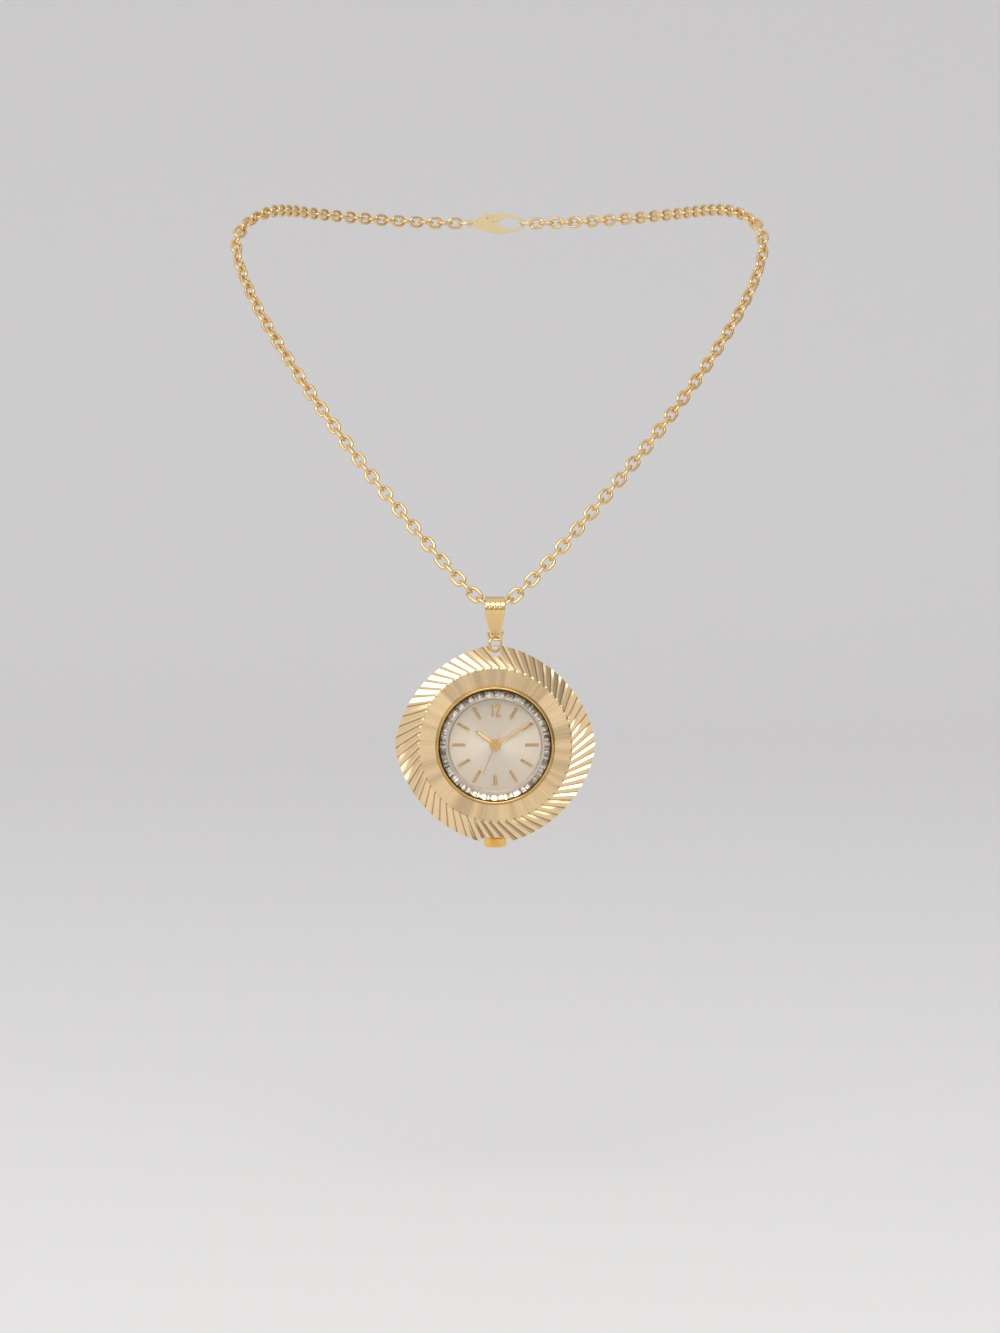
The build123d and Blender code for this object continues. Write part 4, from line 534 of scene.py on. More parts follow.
def frame_gold(colour):
    """A brushed cone with painted wedges of shade and finer brushing streaks, and bright flutes with a
    painted dark line of shade down each groove.
    """
    material, tree, shader = new_material("frame_gold")
    grain = spokes(tree, scale=260.0, detail=2.0)
    streaks = spokes(tree, scale=38.0, detail=3.0)
    painted_wedges = spokes(tree, scale=3.2, detail=1.5)
    outside = remap(tree, reach(tree), (CONE_RADIUS - CONE_BLEND, CONE_RADIUS + CONE_BLEND), WHOLE_SPAN)
    inside = Formula(tree, outside).rest()
    # Painted shade and reflection: the wide wedges darken the cone where it would reflect dark surroundings;
    # the finer streaks are brushing
    shade = Formula(tree, remap(tree, painted_wedges, PAINTED_WEDGE_SPAN, PAINTED_WEDGE_SHADES)) + Formula(
        tree, remap(tree, streaks, STREAK_SPAN, STREAK_SHADES))
    tone = blend_colours(tree, shade * inside, colour, darker(colour, CONE_DARK_SHARE))
    # Painted shade: a dark line down each groove stands in for the dark reflections in the flutes
    groove = add_node(tree, "ShaderNodeAttribute", attribute_name="groove").outputs["Fac"]
    line = remap(tree, groove, PAINTED_LINE_SPAN, WHOLE_SPAN)
    rough = add_node(tree, "ShaderNodeMix", {
        0: outside, 2: remap(tree, grain, NOISE_SPAN, CONE_ROUGHNESS), 3: FLUTE_ROUGHNESS},
        data_type="FLOAT")
    set_inputs(tree, shader, {
        "Base Color": blend_colours(tree, line, tone, darker(colour, PAINTED_LINE_SHARE)),
        "Roughness": rough.outputs[0], "Metallic": 1.0, "Anisotropic": 0.75})
    across_brushing(tree, shader)
    bump(tree, shader, grain, inside * CONE_GRAIN, CONE_GRAIN_DEPTH)
    return material


def brushed_metal(name, colour, roughness):
    """Turned metal with fine grain round the head's axis."""
    material, tree, shader = new_material(name)
    wave = add_node(tree, "ShaderNodeCombineXYZ", {"X": Formula(tree, reach(tree)) * TURNING_RINGS})
    rings = noise(tree, wave.outputs[0], scale=1.0, detail=3.0)
    turned = (roughness * TURNED_LOW_SHARE, roughness * TURNED_HIGH_SHARE)
    set_inputs(tree, shader, {
        "Base Color": blend_colours(tree, rings, colour, darker(colour, TURNED_DARK_SHARE)),
        "Roughness": remap(tree, rings, NOISE_SPAN, turned), "Metallic": 1.0})
    bump(tree, shader, rings, GRAIN_STRENGTH, GRAIN_DEPTH)
    return material


def case_metal(colour):
    """Turned gold, with bright and dark patches of painted reflection on the ledge that shows through the
    crystal's rim.
    """
    material = brushed_metal("case_gold", colour, CASE_ROUGHNESS)
    tree = material.node_tree
    shader = next(node for node in tree.nodes if node.type == "BSDF_PRINCIPLED")
    gold = shader.inputs["Base Color"].links[0].from_socket
    depth = Formula(tree, add_node(tree, "ShaderNodeSeparateXYZ", {0: from_head(tree)}).outputs[1])
    inside = Formula(tree, reach(tree)).maths("LESS_THAN", CRYSTAL_RADIUS)
    ledge = inside * depth.maths("LESS_THAN", -LEDGE_LEVEL)
    # Painted reflections: bright and dark patches stand in for what the ledge reflects through the crystal's
    # rim
    painted_patches = remap(tree, spokes(tree, scale=14.0, detail=2.0), PAINTED_PATCH_SPAN, WHOLE_SPAN)
    painted_ledge_reflections = blend_colours(tree, painted_patches, LEDGE_PAINTED_HIGHLIGHT, LEDGE_PAINTED_SHADE)
    tree.links.new(blend_colours(tree, ledge, gold, painted_ledge_reflections), shader.inputs["Base Color"])
    return material


def sunburst_silver():
    """Silvered dial with a fine grain that runs out from its centre, and a darker rim."""
    material, tree, shader = new_material("dial_silver")
    grain = spokes(tree, scale=180.0, detail=3.0)
    fade = remap(tree, reach(tree), (0.0, DIAL_RADIUS), WHOLE_SPAN)
    set_inputs(tree, shader, {
        "Base Color": blend_colours(tree, fade, blend_colours(tree, grain, DIAL_PALE, DIAL_DARK), DIAL_RIM),
        "Roughness": remap(tree, grain, NOISE_SPAN, DIAL_ROUGHNESS), "Metallic": 0.8, "Anisotropic": 0.6})
    across_brushing(tree, shader)
    bump(tree, shader, grain, GRAIN_STRENGTH, GRAIN_DEPTH)
    return material


def speckled(name, scale, tones, roughness, metallic):
    """A plain material whose tone and roughness both follow one fine noise."""
    material, tree, shader = new_material(name)
    grain = noise(tree, from_head(tree), scale)
    set_inputs(tree, shader, {
        "Base Color": blend_colours(tree, grain, *tones),
        "Roughness": remap(tree, grain, NOISE_SPAN, roughness), "Metallic": metallic})
    return material


def clear_crystal():
    """Clear acrylic with the faintest polishing marks."""
    material, tree, shader = new_material("crystal_clear")
    marks = noise(tree, from_head(tree), scale=700.0, detail=3.0)
    set_inputs(tree, shader, {
        "Base Color": CRYSTAL_COLOUR, "Transmission Weight": 1.0, "IOR": 1.49,
        "Roughness": remap(tree, marks, CRYSTAL_MARKS_SPAN, CRYSTAL_ROUGHNESS)})
    return material


def seal_rubber():
    """Matt black rubber with a fine grain."""
    material, tree, shader = new_material("seal_rubber")
    grain = noise(tree, from_head(tree), scale=3000.0)
    set_inputs(tree, shader, {
        "Base Color": blend_colours(tree, grain, *RUBBER_TONES), "Roughness": 0.75})
    bump(tree, shader, grain, RUBBER_GRAIN, GRAIN_DEPTH)
    return material


def grained_nickel():
    """Nickel plate covered in small turned spots that overlap."""
    material, tree, shader = new_material("plate_nickel")
    cells = add_node(tree, "ShaderNodeTexVoronoi", {
        "Vector": from_head(tree), "Scale": 1300.0, "Randomness": 0.15})
    from_spot = Formula(tree, cells.outputs["Distance"])
    rings = (from_spot * NICKEL_RINGS).maths("SINE").socket
    set_inputs(tree, shader, {
        "Base Color": blend_colours(tree, from_spot, *NICKEL_TONES),
        "Roughness": remap(tree, rings, SIGNED_SPAN, NICKEL_ROUGHNESS), "Metallic": 1.0})
    bump(tree, shader, rings, NICKEL_GRAIN, NICKEL_DEPTH)
    return material


def pale_plain(name, colour):
    """A matt material of one colour, with a weak gloss."""
    material, tree, shader = new_material(name)
    set_inputs(tree, shader, {"Base Color": (*colour, 1.0), "Roughness": 0.8, "Specular IOR Level": 0.2})
    return material


# Chain

# Points of the route to either side that give a link its direction
DIRECTION_STEPS = 2
LINK_BEND_STEPS = 4
WIRE_SIDES = 8
# Just under half the width, so that both fillets of an end fit
LINK_END_SHARE = 0.4999


def route_line():
    """The chain's centreline, read from one smooth spline through its control points."""
    data = bpy.data.curves.new("chain_route", "CURVE")
    data.dimensions = "3D"
    spline = data.splines.new("NURBS")
    spline.points.add(len(ROUTE) - 1)
    for point, place in zip(spline.points, ROUTE):
        point.co = (*place, 1.0)
    spline.order_u = 3
    spline.use_endpoint_u = True
    spline.resolution_u = ROUTE_STEPS
    curve = bpy.data.objects.new("chain_route", data)
    bpy.context.scene.collection.objects.link(curve)
    line = bpy.data.meshes.new_from_object(curve)
    points = [vertex.co.copy() for vertex in line.vertices]
    bpy.data.objects.remove(curve)
    bpy.data.meshes.remove(line)
    bpy.data.curves.remove(data)
    return points


def lengths_along(points):
    lengths = [0.0]
    for before, after in zip(points, points[1:]):
        lengths.append(lengths[-1] + (after - before).length)
    return lengths


def at_length(points, lengths, wanted):
    """The point that far along the line, and the line's direction there."""
    index = 1
    while index < len(lengths) - 1 and lengths[index] < wanted:
        index += 1
    share = (wanted - lengths[index - 1]) / (lengths[index] - lengths[index - 1])
    point = points[index - 1].lerp(points[index], share)
    before = points[max(index - 1 - DIRECTION_STEPS, 0)]
    after = points[min(index + DIRECTION_STEPS, len(points) - 1)]
    return point, (after - before).normalized()


def face_turn(share):
    """How far the links' faces have turned, in degrees, at this share of the way to the clasp."""
    for (low, first), (high, last) in zip(TURN_STOPS_SHARES, TURN_STOPS_SHARES[1:]):
        if share <= high:
            return first + (last - first) * (share - low) / (high - low)
    return TURN_STOPS_SHARES[-1][1]


def nearest_odd(value):
    return 2 * round((value - 1) / 2) + 1


def link_places(points, lengths, pitch):
    """A place and a turn for each link, counted from the bail, every second one rolled over."""
    middle = min(range(len(points)), key=lambda index: abs(points[index].x))
    places, turns = [], []
    for side in (-1, 1):
        run = lengths[middle] if side < 0 else lengths[-1] - lengths[middle]
        count = nearest_odd(run / pitch)
        for index in range(0 if side < 0 else 1, count):
            share = index / count
            point, along = at_length(points, lengths, lengths[middle] + side * share * run)
            turn = math.radians(face_turn(share)) * side
            facing = Vector((math.sin(turn), -math.cos(turn), 0.0))
            facing = (facing - along * facing.dot(along)).normalized()
            across = facing.cross(along)
            axes = Matrix((along, across, facing)).transposed()
            roll = Matrix.Rotation(math.radians(90.0 * (index % 2)), 3, "X")
            places.append(point)
            turns.append((axes @ roll).to_euler())
    return places, turns


def link_tree():
    """An oval wire link, set on every point and turned by the point's own turn."""
    tree, entry, end = geometry_tree("chain_links", (
        ("Link length", "NodeSocketFloat", LINK_LONG), ("Link width", "NodeSocketFloat", LINK_WIDE),
        ("Wire", "NodeSocketFloat", LINK_WIRE), ("Bend steps", "NodeSocketInt", LINK_BEND_STEPS),
        ("Wire sides", "NodeSocketInt", WIRE_SIDES), ("Material", "NodeSocketMaterial", None)))
    wire = Formula(tree, entry.outputs["Wire"])
    long = Formula(tree, entry.outputs["Link length"]) - wire
    wide = Formula(tree, entry.outputs["Link width"]) - wire
    oval = add_node(tree, "GeometryNodeCurvePrimitiveQuadrilateral", {"Width": long, "Height": wide})
    round_end = add_node(tree, "GeometryNodeFilletCurve", {
        "Curve": oval.outputs[0], "Radius": wide * LINK_END_SHARE, "Limit Radius": True,
        "Count": entry.outputs["Bend steps"]}, mode="POLY")
    section = add_node(tree, "GeometryNodeCurvePrimitiveCircle", {
        "Resolution": entry.outputs["Wire sides"], "Radius": wire * 0.5}, mode="RADIUS")
    link = add_node(tree, "GeometryNodeCurveToMesh", {
        "Curve": round_end.outputs[0], "Profile Curve": section.outputs[0]})
    shaded = add_node(tree, "GeometryNodeSetShadeSmooth", {"Geometry": link.outputs[0]})
    turn = add_node(tree, "GeometryNodeInputNamedAttribute", {"Name": "turn"}, data_type="FLOAT_VECTOR")
    spread = add_node(tree, "GeometryNodeInstanceOnPoints", {
        "Points": entry.outputs["Geometry"], "Instance": shaded.outputs[0],
        "Rotation": turn.outputs[0]})
    finish_tree(tree, end, spread.outputs[0])
    return tree


class PENDANT_OT_chain(Operator):
    """Hang the chain of oval links along its route"""
    bl_idname = "pendant.chain"
    bl_label = "Chain"

    def execute(self, context):
        sizes = context.scene.pendant_chain
        points = route_line()
        lengths = lengths_along(points)
        places, turns = link_places(points, lengths, sizes.pitch)
        chain = new_piece("chain_links", places, [], Matrix.Identity(4))
        set_vectors(chain, "turn", turns)
        gold = polished_gold("chain_gold", tuple(context.scene.pendant_gold.chain))
        bake_nodes(chain, link_tree(), {
            "Link length": sizes.link_long, "Link width": sizes.link_wide, "Wire": sizes.wire,
            "Material": gold})
        seat(chain, "chain", nodes=CHAIN_NODES)
        return {"FINISHED"}


class PENDANT_OT_clasp(Operator):
    """Finish the clasp at the nape and its two rings"""
    bl_idname = "pendant.clasp"
    bl_label = "Clasp"

    def execute(self, context):
        gold = bpy.data.materials["chain_gold"]
        for node in ("clasp_body", "clasp_trigger", "clasp_ring", "catch_ring"):
            dress(node, gold)
        dress("clasp_pin", brushed_metal("pin_steel", *STEELS["pin_steel"]))
        dress("clasp_spring", speckled("spring_blue", 600.0, BLUE_TONES, BLUE_ROUGHNESS, 1.0))
        return {"FINISHED"}


# Bail and rings

BAIL_PIVOT = 27.03 * MM
BAIL_FOOT = 22.7 * MM
BAIL_TOP_RADIUS = 2.52 * MM
BAIL_FOOT_RADIUS = 0.87 * MM
BAIL_WALL = 0.52 * MM
BAIL_TOP_HALF = 2.0 * MM
BAIL_SHOULDER = 0.9 * MM
BAIL_FOOT_HALF = 0.88 * MM
BAIL_DEPTH = 0.15 * MM
BAIL_EDGE = 0.1 * MM
BAIL_ARC_STEPS = 14
BAIL_SIDE_STEPS = 10
BAIL_COLUMNS = 40

# Angles from straight up where the hollows start and end, and over which they deepen and fade
HOLLOW_START = math.radians(52.0)
HOLLOW_RISE = math.radians(26.0)
HOLLOW_END = math.radians(168.0)
HOLLOW_FALL = math.radians(30.0)
HOLLOW_ROUNDING = 0.8


def bail_stations():
    """Side view of the loop as centre height, radius and angle from straight up."""
    tall = BAIL_PIVOT - BAIL_FOOT
    lean = math.pi - math.acos((BAIL_TOP_RADIUS - BAIL_FOOT_RADIUS) / tall)
    front = [(BAIL_PIVOT, BAIL_TOP_RADIUS, lean * step / BAIL_ARC_STEPS) for step in range(BAIL_ARC_STEPS)]
    for step in range(BAIL_SIDE_STEPS):
        share = step / BAIL_SIDE_STEPS
        front.append((BAIL_PIVOT - tall * share,
                      BAIL_TOP_RADIUS + (BAIL_FOOT_RADIUS - BAIL_TOP_RADIUS) * share, lean))
    for step in range(BAIL_ARC_STEPS + 1):
        front.append((BAIL_FOOT, BAIL_FOOT_RADIUS, lean + (math.pi - lean) * step / BAIL_ARC_STEPS))
    return front + [(height, radius, -angle) for height, radius, angle in front[-2:0:-1]]


def bail_half_width(height):
    """The strap is widest at its shoulders and narrows evenly down to its foot."""
    low = BAIL_FOOT - BAIL_FOOT_RADIUS
    high = BAIL_PIVOT - BAIL_SHOULDER
    share = min(max((height - low) / (high - low), 0.0), 1.0)
    return BAIL_FOOT_HALF + (BAIL_TOP_HALF - BAIL_FOOT_HALF) * share


def bail_mesh(flutes, depth):
    """A strap bent into a drop, with hollows down its front that fade out at both ends."""
    points = []
    stations = bail_stations()
    for height, radius, angle in stations:
        strength = 0.0
        if angle > 0.0:
            rise = (angle - HOLLOW_START) / HOLLOW_RISE
            fall = (HOLLOW_END - angle) / HOLLOW_FALL
            strength = max(0.0, min(1.0, rise, fall))
        half = bail_half_width(height + radius * math.cos(angle))
        inner = radius - BAIL_WALL
        ring = []
        for column in range(BAIL_COLUMNS + 1):
            share = column / BAIL_COLUMNS
            edge = max(0.0, abs(2.0 * share - 1.0) * half - (half - BAIL_EDGE)) / BAIL_EDGE
            drop = BAIL_EDGE * (1.0 - math.sqrt(max(0.0, 1.0 - edge * edge)))
            hollow = depth * strength * abs(math.sin(math.pi * share * flutes)) ** HOLLOW_ROUNDING
            ring.append((half * (2.0 * share - 1.0), radius - drop - hollow))
        ring += [(half, inner), (-half, inner)]
        for across, out in ring:
            points.append((across, height + out * math.cos(angle), BAIL_DEPTH + out * math.sin(angle)))
    return points, ring_faces(len(stations), len(ring))


class PENDANT_OT_bail(Operator):
    """Make the fluted bail and the two small rings under it"""
    bl_idname = "pendant.bail"
    bl_label = "Bail and rings"

    def execute(self, context):
        sizes = context.scene.pendant_bail
        gold = polished_gold("bail_gold", tuple(context.scene.pendant_gold.chain))
        bail = new_piece("bail_fluted", *bail_mesh(sizes.flute_count, sizes.flute_depth))
        outward(bail)
        seat(smooth(bail, BAIL_EDGES), "bail", gold, ["bail"])
        for node in ("bail_link", "jump_ring"):
            seat(merged_copy(node, node + "_smooth", RING_EDGES), node, gold, [node])
        return {"FINISHED"}


# Frame with its cone and flutes

FRAME_BORE = 11.9 * MM
CONE_TOP = 1.55 * MM
CONE_FRONT = 1.0 * MM
RIM_FRONT = 0.33 * MM
RIM_BACK = -0.15 * MM
FRAME_BACK = -0.5 * MM
FRAME_CORNER = 0.8 * MM
FLUTE_COLUMNS = 8
FLUTE_ROWS = 12
FLUTE_VALLEY_SHARE = 0.375
FLUTE_START_SHARE = 0.4
FLUTE_FIRST_SHARE = 0.03
FLUTE_FULL_SHARE = 0.8
SCALLOP = 0.3 * MM
CONE_ROWS = 5
HOLE_HEIGHT = 18.64 * MM
HOLE_RADIUS = 1.06 * MM
HOLE_SIDES = 48
NOTCH_TOP = -18.55 * MM
NOTCH_TOP_HALF = 2.2 * MM
NOTCH_TIP_HALF = 4.3 * MM
OVERRUN = 1.0 * MM
BRUSHING_SIZE = 20.0 * MM


def outline_run(start, heading, half, side_radius):
    """How far from a point the soft square's edge lies in one direction, round its corners too."""
    diagonal = half / math.sqrt(2.0)
    back = math.sqrt(side_radius ** 2 - diagonal ** 2) - diagonal
    runs = []
    for side in range(4):
        turn = math.radians(45.0 + 90.0 * side)
        from_middle = start + Vector((math.cos(turn), math.sin(turn))) * back
        lead = from_middle.dot(heading)
        runs.append(math.sqrt(lead * lead - from_middle.length_squared + side_radius ** 2) - lead)
    runs.sort()
    near = runs[1] - runs[0]
    soft = max(0.0, FRAME_CORNER - near) ** 2 / (4.0 * FRAME_CORNER)
    return runs[0] - soft


def frame_mesh(sizes):
    """The frame before its flutes, with each point's place round it and its way into a flute."""
    columns = sizes.flute_count * FLUTE_COLUMNS
    fall = (CONE_FRONT - RIM_FRONT) / (sizes.half - CONE_RADIUS)
    cone_fall = (CONE_TOP - CONE_FRONT) / (CONE_RADIUS - FRAME_BORE)
    full_run = outline_run(Vector((CONE_RADIUS, 0.0)), Vector((1.0, 0.0)), sizes.half,
                           sizes.side_radius) * FLUTE_FULL_SHARE / math.cos(sizes.flute_turn)
    still = Vector((0.0, 0.0, 0.0))
    points, rounds, ways = [], [], []
    for column in range(columns):
        turn = column * TAU / columns
        outward_way = Vector((math.cos(turn), math.sin(turn)))
        heading = Vector((math.cos(turn + sizes.flute_turn), math.sin(turn + sizes.flute_turn)))
        start = outward_way * CONE_RADIUS
        run = outline_run(start, heading, sizes.half, sizes.side_radius)
        loop = [(outward_way * FRAME_BORE, FRAME_BACK, still)]
        for row in range(CONE_ROWS):
            share = row / CONE_ROWS
            radius = FRAME_BORE + (CONE_RADIUS - SCALLOP - FRAME_BORE) * share
            loop.append((outward_way * radius, CONE_TOP - cone_fall * (radius - FRAME_BORE), still))
        inward = Vector((-outward_way.x, -outward_way.y, cone_fall)) * SCALLOP / sizes.flute_depth
        loop.append((start, CONE_FRONT, inward * (1.0 - 1.0 / CONE_ROWS)))
        for row in range(FLUTE_ROWS + 1):
            share = FLUTE_FIRST_SHARE + (1.0 - FLUTE_FIRST_SHARE) * row / FLUTE_ROWS
            place = start + heading * run * share
            level = CONE_FRONT - fall * (place.length - CONE_RADIUS)
            deep = FLUTE_START_SHARE + (1.0 - FLUTE_START_SHARE) * min(run * share / full_run, 1.0)
            loop.append((place, level, Vector((0.0, 0.0, -deep))))
        loop.append((start + heading * run, RIM_BACK, still))
        loop.append((start, FRAME_BACK, still))
        for place, level, way in loop:
            points.append((place.x, place.y, level))
            rounds.append(column / columns)
            ways.append(HEAD.to_3x3() @ way)
    size = len(points) // columns
    return points, ring_faces(columns, size), rounds, ways


def flute_tree():
    """Leaning V grooves: each point goes its own way by the depth of the groove at its place.

    That depth is kept on the points as a share, for the painted dark line of shade in the material.
    """
    tree, entry, end = geometry_tree("rim_flutes", (
        ("Flutes", "NodeSocketInt", FLUTE_COUNT), ("Depth", "NodeSocketFloat", FLUTE_DEPTH),
        ("Valley", "NodeSocketFloat", FLUTE_VALLEY_SHARE), ("Material", "NodeSocketMaterial", None)))
    place = add_node(tree, "GeometryNodeInputNamedAttribute", {"Name": "round"}, data_type="FLOAT")
    way = add_node(tree, "GeometryNodeInputNamedAttribute", {"Name": "way"}, data_type="FLOAT_VECTOR")
    across = Formula(tree, place.outputs[0]) * Formula(tree, entry.outputs["Flutes"])
    across = across.maths("FRACT")
    valley = Formula(tree, entry.outputs["Valley"])
    groove = (across / valley).maths("MINIMUM", across.rest() / valley.rest())
    depth = groove * Formula(tree, entry.outputs["Depth"])
    move = add_node(tree, "ShaderNodeVectorMath", {0: way.outputs[0], "Scale": depth}, operation="SCALE")
    cut_in = add_node(tree, "GeometryNodeSetPosition", {
        "Geometry": entry.outputs["Geometry"], "Offset": move.outputs[0]})
    steepness = add_node(tree, "ShaderNodeVectorMath", {0: way.outputs[0]}, operation="LENGTH")
    kept = groove * Formula(tree, steepness.outputs["Value"]).maths("GREATER_THAN", 0.0)
    noted = add_node(tree, "GeometryNodeStoreNamedAttribute", {
        "Geometry": cut_in.outputs[0], "Name": "groove", "Value": kept}, data_type="FLOAT", domain="POINT")
    finish_tree(tree, end, noted.outputs[0])
    return tree


def straight_cutter(name, outline, low, high):
    """A straight block in the head's frame with this outline, used only to cut with."""
    sides = len(outline)
    points = [(across, up, level) for level in (low, high) for across, up in outline]
    faces = [tuple(range(sides - 1, -1, -1)), tuple(range(sides, 2 * sides))]
    for index in range(sides):
        after = (index + 1) % sides
        faces.append((index, after, sides + after, sides + index))
    return new_piece(name, points, faces)


def notch_outline(half):
    """The gap for the crown, which widens towards the tip of the frame."""
    low = -half - OVERRUN
    return [(-NOTCH_TIP_HALF, low), (NOTCH_TIP_HALF, low), (NOTCH_TIP_HALF, -half),
            (NOTCH_TOP_HALF, NOTCH_TOP), (-NOTCH_TOP_HALF, NOTCH_TOP), (-NOTCH_TIP_HALF, -half)]


def cut(piece, cutter):
    """Takes a cutter out of a piece and keeps the result as its mesh."""
    modifier = piece.modifiers.new("cut", "BOOLEAN")
    modifier.operation = "DIFFERENCE"
    modifier.solver = "EXACT"
    modifier.object = cutter
    bpy.context.view_layer.update()
    evaluated = piece.evaluated_get(bpy.context.evaluated_depsgraph_get())
    result = bpy.data.meshes.new_from_object(evaluated)
    piece.modifiers.remove(modifier)
    piece.data = result
    bpy.data.objects.remove(cutter)


def brushing_map(piece):
    """A map whose first direction runs round the dial's centre, across the brushing."""
    layer = piece.data.uv_layers.new(name="brushing")
    for face in piece.data.polygons:
        middle = face.center - HEAD_CENTRE
        base = math.atan2(middle.z, middle.x)
        for corner in face.loop_indices:
            place = piece.data.vertices[piece.data.loops[corner].vertex_index].co - HEAD_CENTRE
            turn = math.atan2(place.z, place.x)
            turn += TAU * round((base - turn) / TAU)
            layer.data[corner].uv = (turn / TAU, math.hypot(place.x, place.z) / BRUSHING_SIZE)


class PENDANT_OT_frame(Operator):
    """Make the soft square frame with its brushed cone and turned flutes"""
    bl_idname = "pendant.frame"
    bl_label = "Fluted frame"

    def execute(self, context):
        sizes = context.scene.pendant_frame
        points, faces, rounds, ways = frame_mesh(sizes)
        rim = new_piece("frame_fluted", points, faces)
        rim.data.attributes.new("round", "FLOAT", "POINT").data.foreach_set("value", rounds)
        set_vectors(rim, "way", ways)
        gold = frame_gold(tuple(context.scene.pendant_gold.rim))
        bake_nodes(rim, flute_tree(), {
            "Flutes": sizes.flute_count, "Depth": sizes.flute_depth, "Material": gold})
        outward(rim)
        back = FRAME_BACK - OVERRUN
        hole = circle(HOLE_RADIUS, (0.0, HOLE_HEIGHT), HOLE_SIDES)
        cut(rim, straight_cutter("hole_cutter", hole, back, CONE_TOP))
        cut(rim, straight_cutter("notch_cutter", notch_outline(sizes.half), back, CONE_TOP))
        brushing_map(rim)
        smooth(rim, RIM_EDGES)
        seat(rim, "head", gold, ["bezel_frame"])
        return {"FINISHED"}


# Crystal, its ring and the ring round the dial

CRYSTAL_BOTTOM = 1.7 * MM
CRYSTAL_GIRDLE = 2.25 * MM
CRYSTAL_BELT = 2.72 * MM
CRYSTAL_TOP = 3.1 * MM
CRYSTAL_BELT_RADIUS = 10.3 * MM
CRYSTAL_FLAT_RADIUS = 9.5 * MM
CRYSTAL_FACETS = 32

# The gold ring that holds the crystal, with radius and height of each point over its round top
COLLAR_PLAY = 0.02 * MM
COLLAR_OUTER = 11.85 * MM
COLLAR_FOOT = 1.67 * MM
COLLAR_LIP = 1.9 * MM
COLLAR_ROUND = ((COLLAR_OUTER, 1.75 * MM), (11.74 * MM, 2.12 * MM), (11.62 * MM, 2.31 * MM),
                (11.45 * MM, 2.38 * MM), (11.28 * MM, 2.33 * MM), (11.12 * MM, 2.15 * MM))

# The ring round the dial, with radius and height of each point up its slope
REHAUT_TOP = 1.65 * MM
REHAUT_SLOPE = ((9.1 * MM, 0.0), (9.12 * MM, 0.12 * MM), (9.42 * MM, 1.6 * MM), (9.45 * MM, REHAUT_TOP))


def crystal_mesh():
    """A disc with a flat top and two rows of triangular facets round its rim."""
    steps = CRYSTAL_FACETS * 2
    points = level_ring(CRYSTAL_RADIUS, CRYSTAL_BOTTOM, steps)
    points += level_ring(CRYSTAL_RADIUS, CRYSTAL_GIRDLE, steps)
    belt = len(points)
    points += level_ring(CRYSTAL_BELT_RADIUS, CRYSTAL_BELT, CRYSTAL_FACETS, 0.5)
    table = len(points)
    points += level_ring(CRYSTAL_FLAT_RADIUS, CRYSTAL_TOP, CRYSTAL_FACETS)
    faces = [tuple(range(steps - 1, -1, -1)), tuple(range(table, table + CRYSTAL_FACETS))]
    for step in range(steps):
        after = (step + 1) % steps
        faces.append((step, after, steps + after, steps + step))
    for step in range(CRYSTAL_FACETS):
        after = (step + 1) % CRYSTAL_FACETS
        low, middle, high = steps + 2 * step, steps + 2 * step + 1, steps + (2 * step + 2) % steps
        faces.append((low, middle, belt + step))
        faces.append((middle, high, belt + step))
        faces.append((table + step, low, belt + step))
        faces.append((belt + step, table + after, table + step))
        faces.append((belt + step, high, table + after))
    return points, faces


class PENDANT_OT_crystal(Operator):
    """Make the faceted crystal, the gold ring that holds it and the ring round the dial"""
    bl_idname = "pendant.crystal"
    bl_label = "Crystal and rings"

    def execute(self, context):
        crystal = new_piece("crystal_cut", *crystal_mesh())
        outward(crystal)
        crystal.visible_shadow = False
        seat(crystal, "head", clear_crystal(), ["crystal"])
        dark = polished_gold("collar_gold", tuple(context.scene.pendant_gold.collar))
        inner = CRYSTAL_RADIUS + COLLAR_PLAY
        collar = new_piece("crystal_collar", *lathe((
            (inner, COLLAR_FOOT), (COLLAR_OUTER, COLLAR_FOOT), *COLLAR_ROUND, (inner, COLLAR_LIP))))
        outward(collar)
        seat(smooth(collar, LATHE_EDGES), "head", dark, ["crystal_ring"])
        rehaut = new_piece("rehaut_slope", *lathe((
            *REHAUT_SLOPE, (DIAL_RADIUS, REHAUT_TOP), (DIAL_RADIUS, 0.0))))
        outward(rehaut)
        grey = speckled("rehaut_grey", 2500.0, REHAUT_TONES, REHAUT_ROUGHNESS, 0.5)
        seat(smooth(rehaut, LATHE_EDGES), "head", grey, ["rehaut_ring"])
        return {"FINISHED"}


# Dial, markers and numeral

HOUR_TURN = 30.0

# The hour with two thin batons side by side, and their sizes
SIX = 6
SIX_OUTER = 8.2 * MM
SIX_INNER = 5.8 * MM
SIX_WIDE = 0.34 * MM
SIX_GAP = 0.16 * MM

MARKER_TALL = 0.2 * MM
MARKER_SIDE_SHARE = 0.4
MARKER_TOP_SHARE = 0.55
DIAL_HOLE = 0.7 * MM
DIAL_THICK = 0.3 * MM


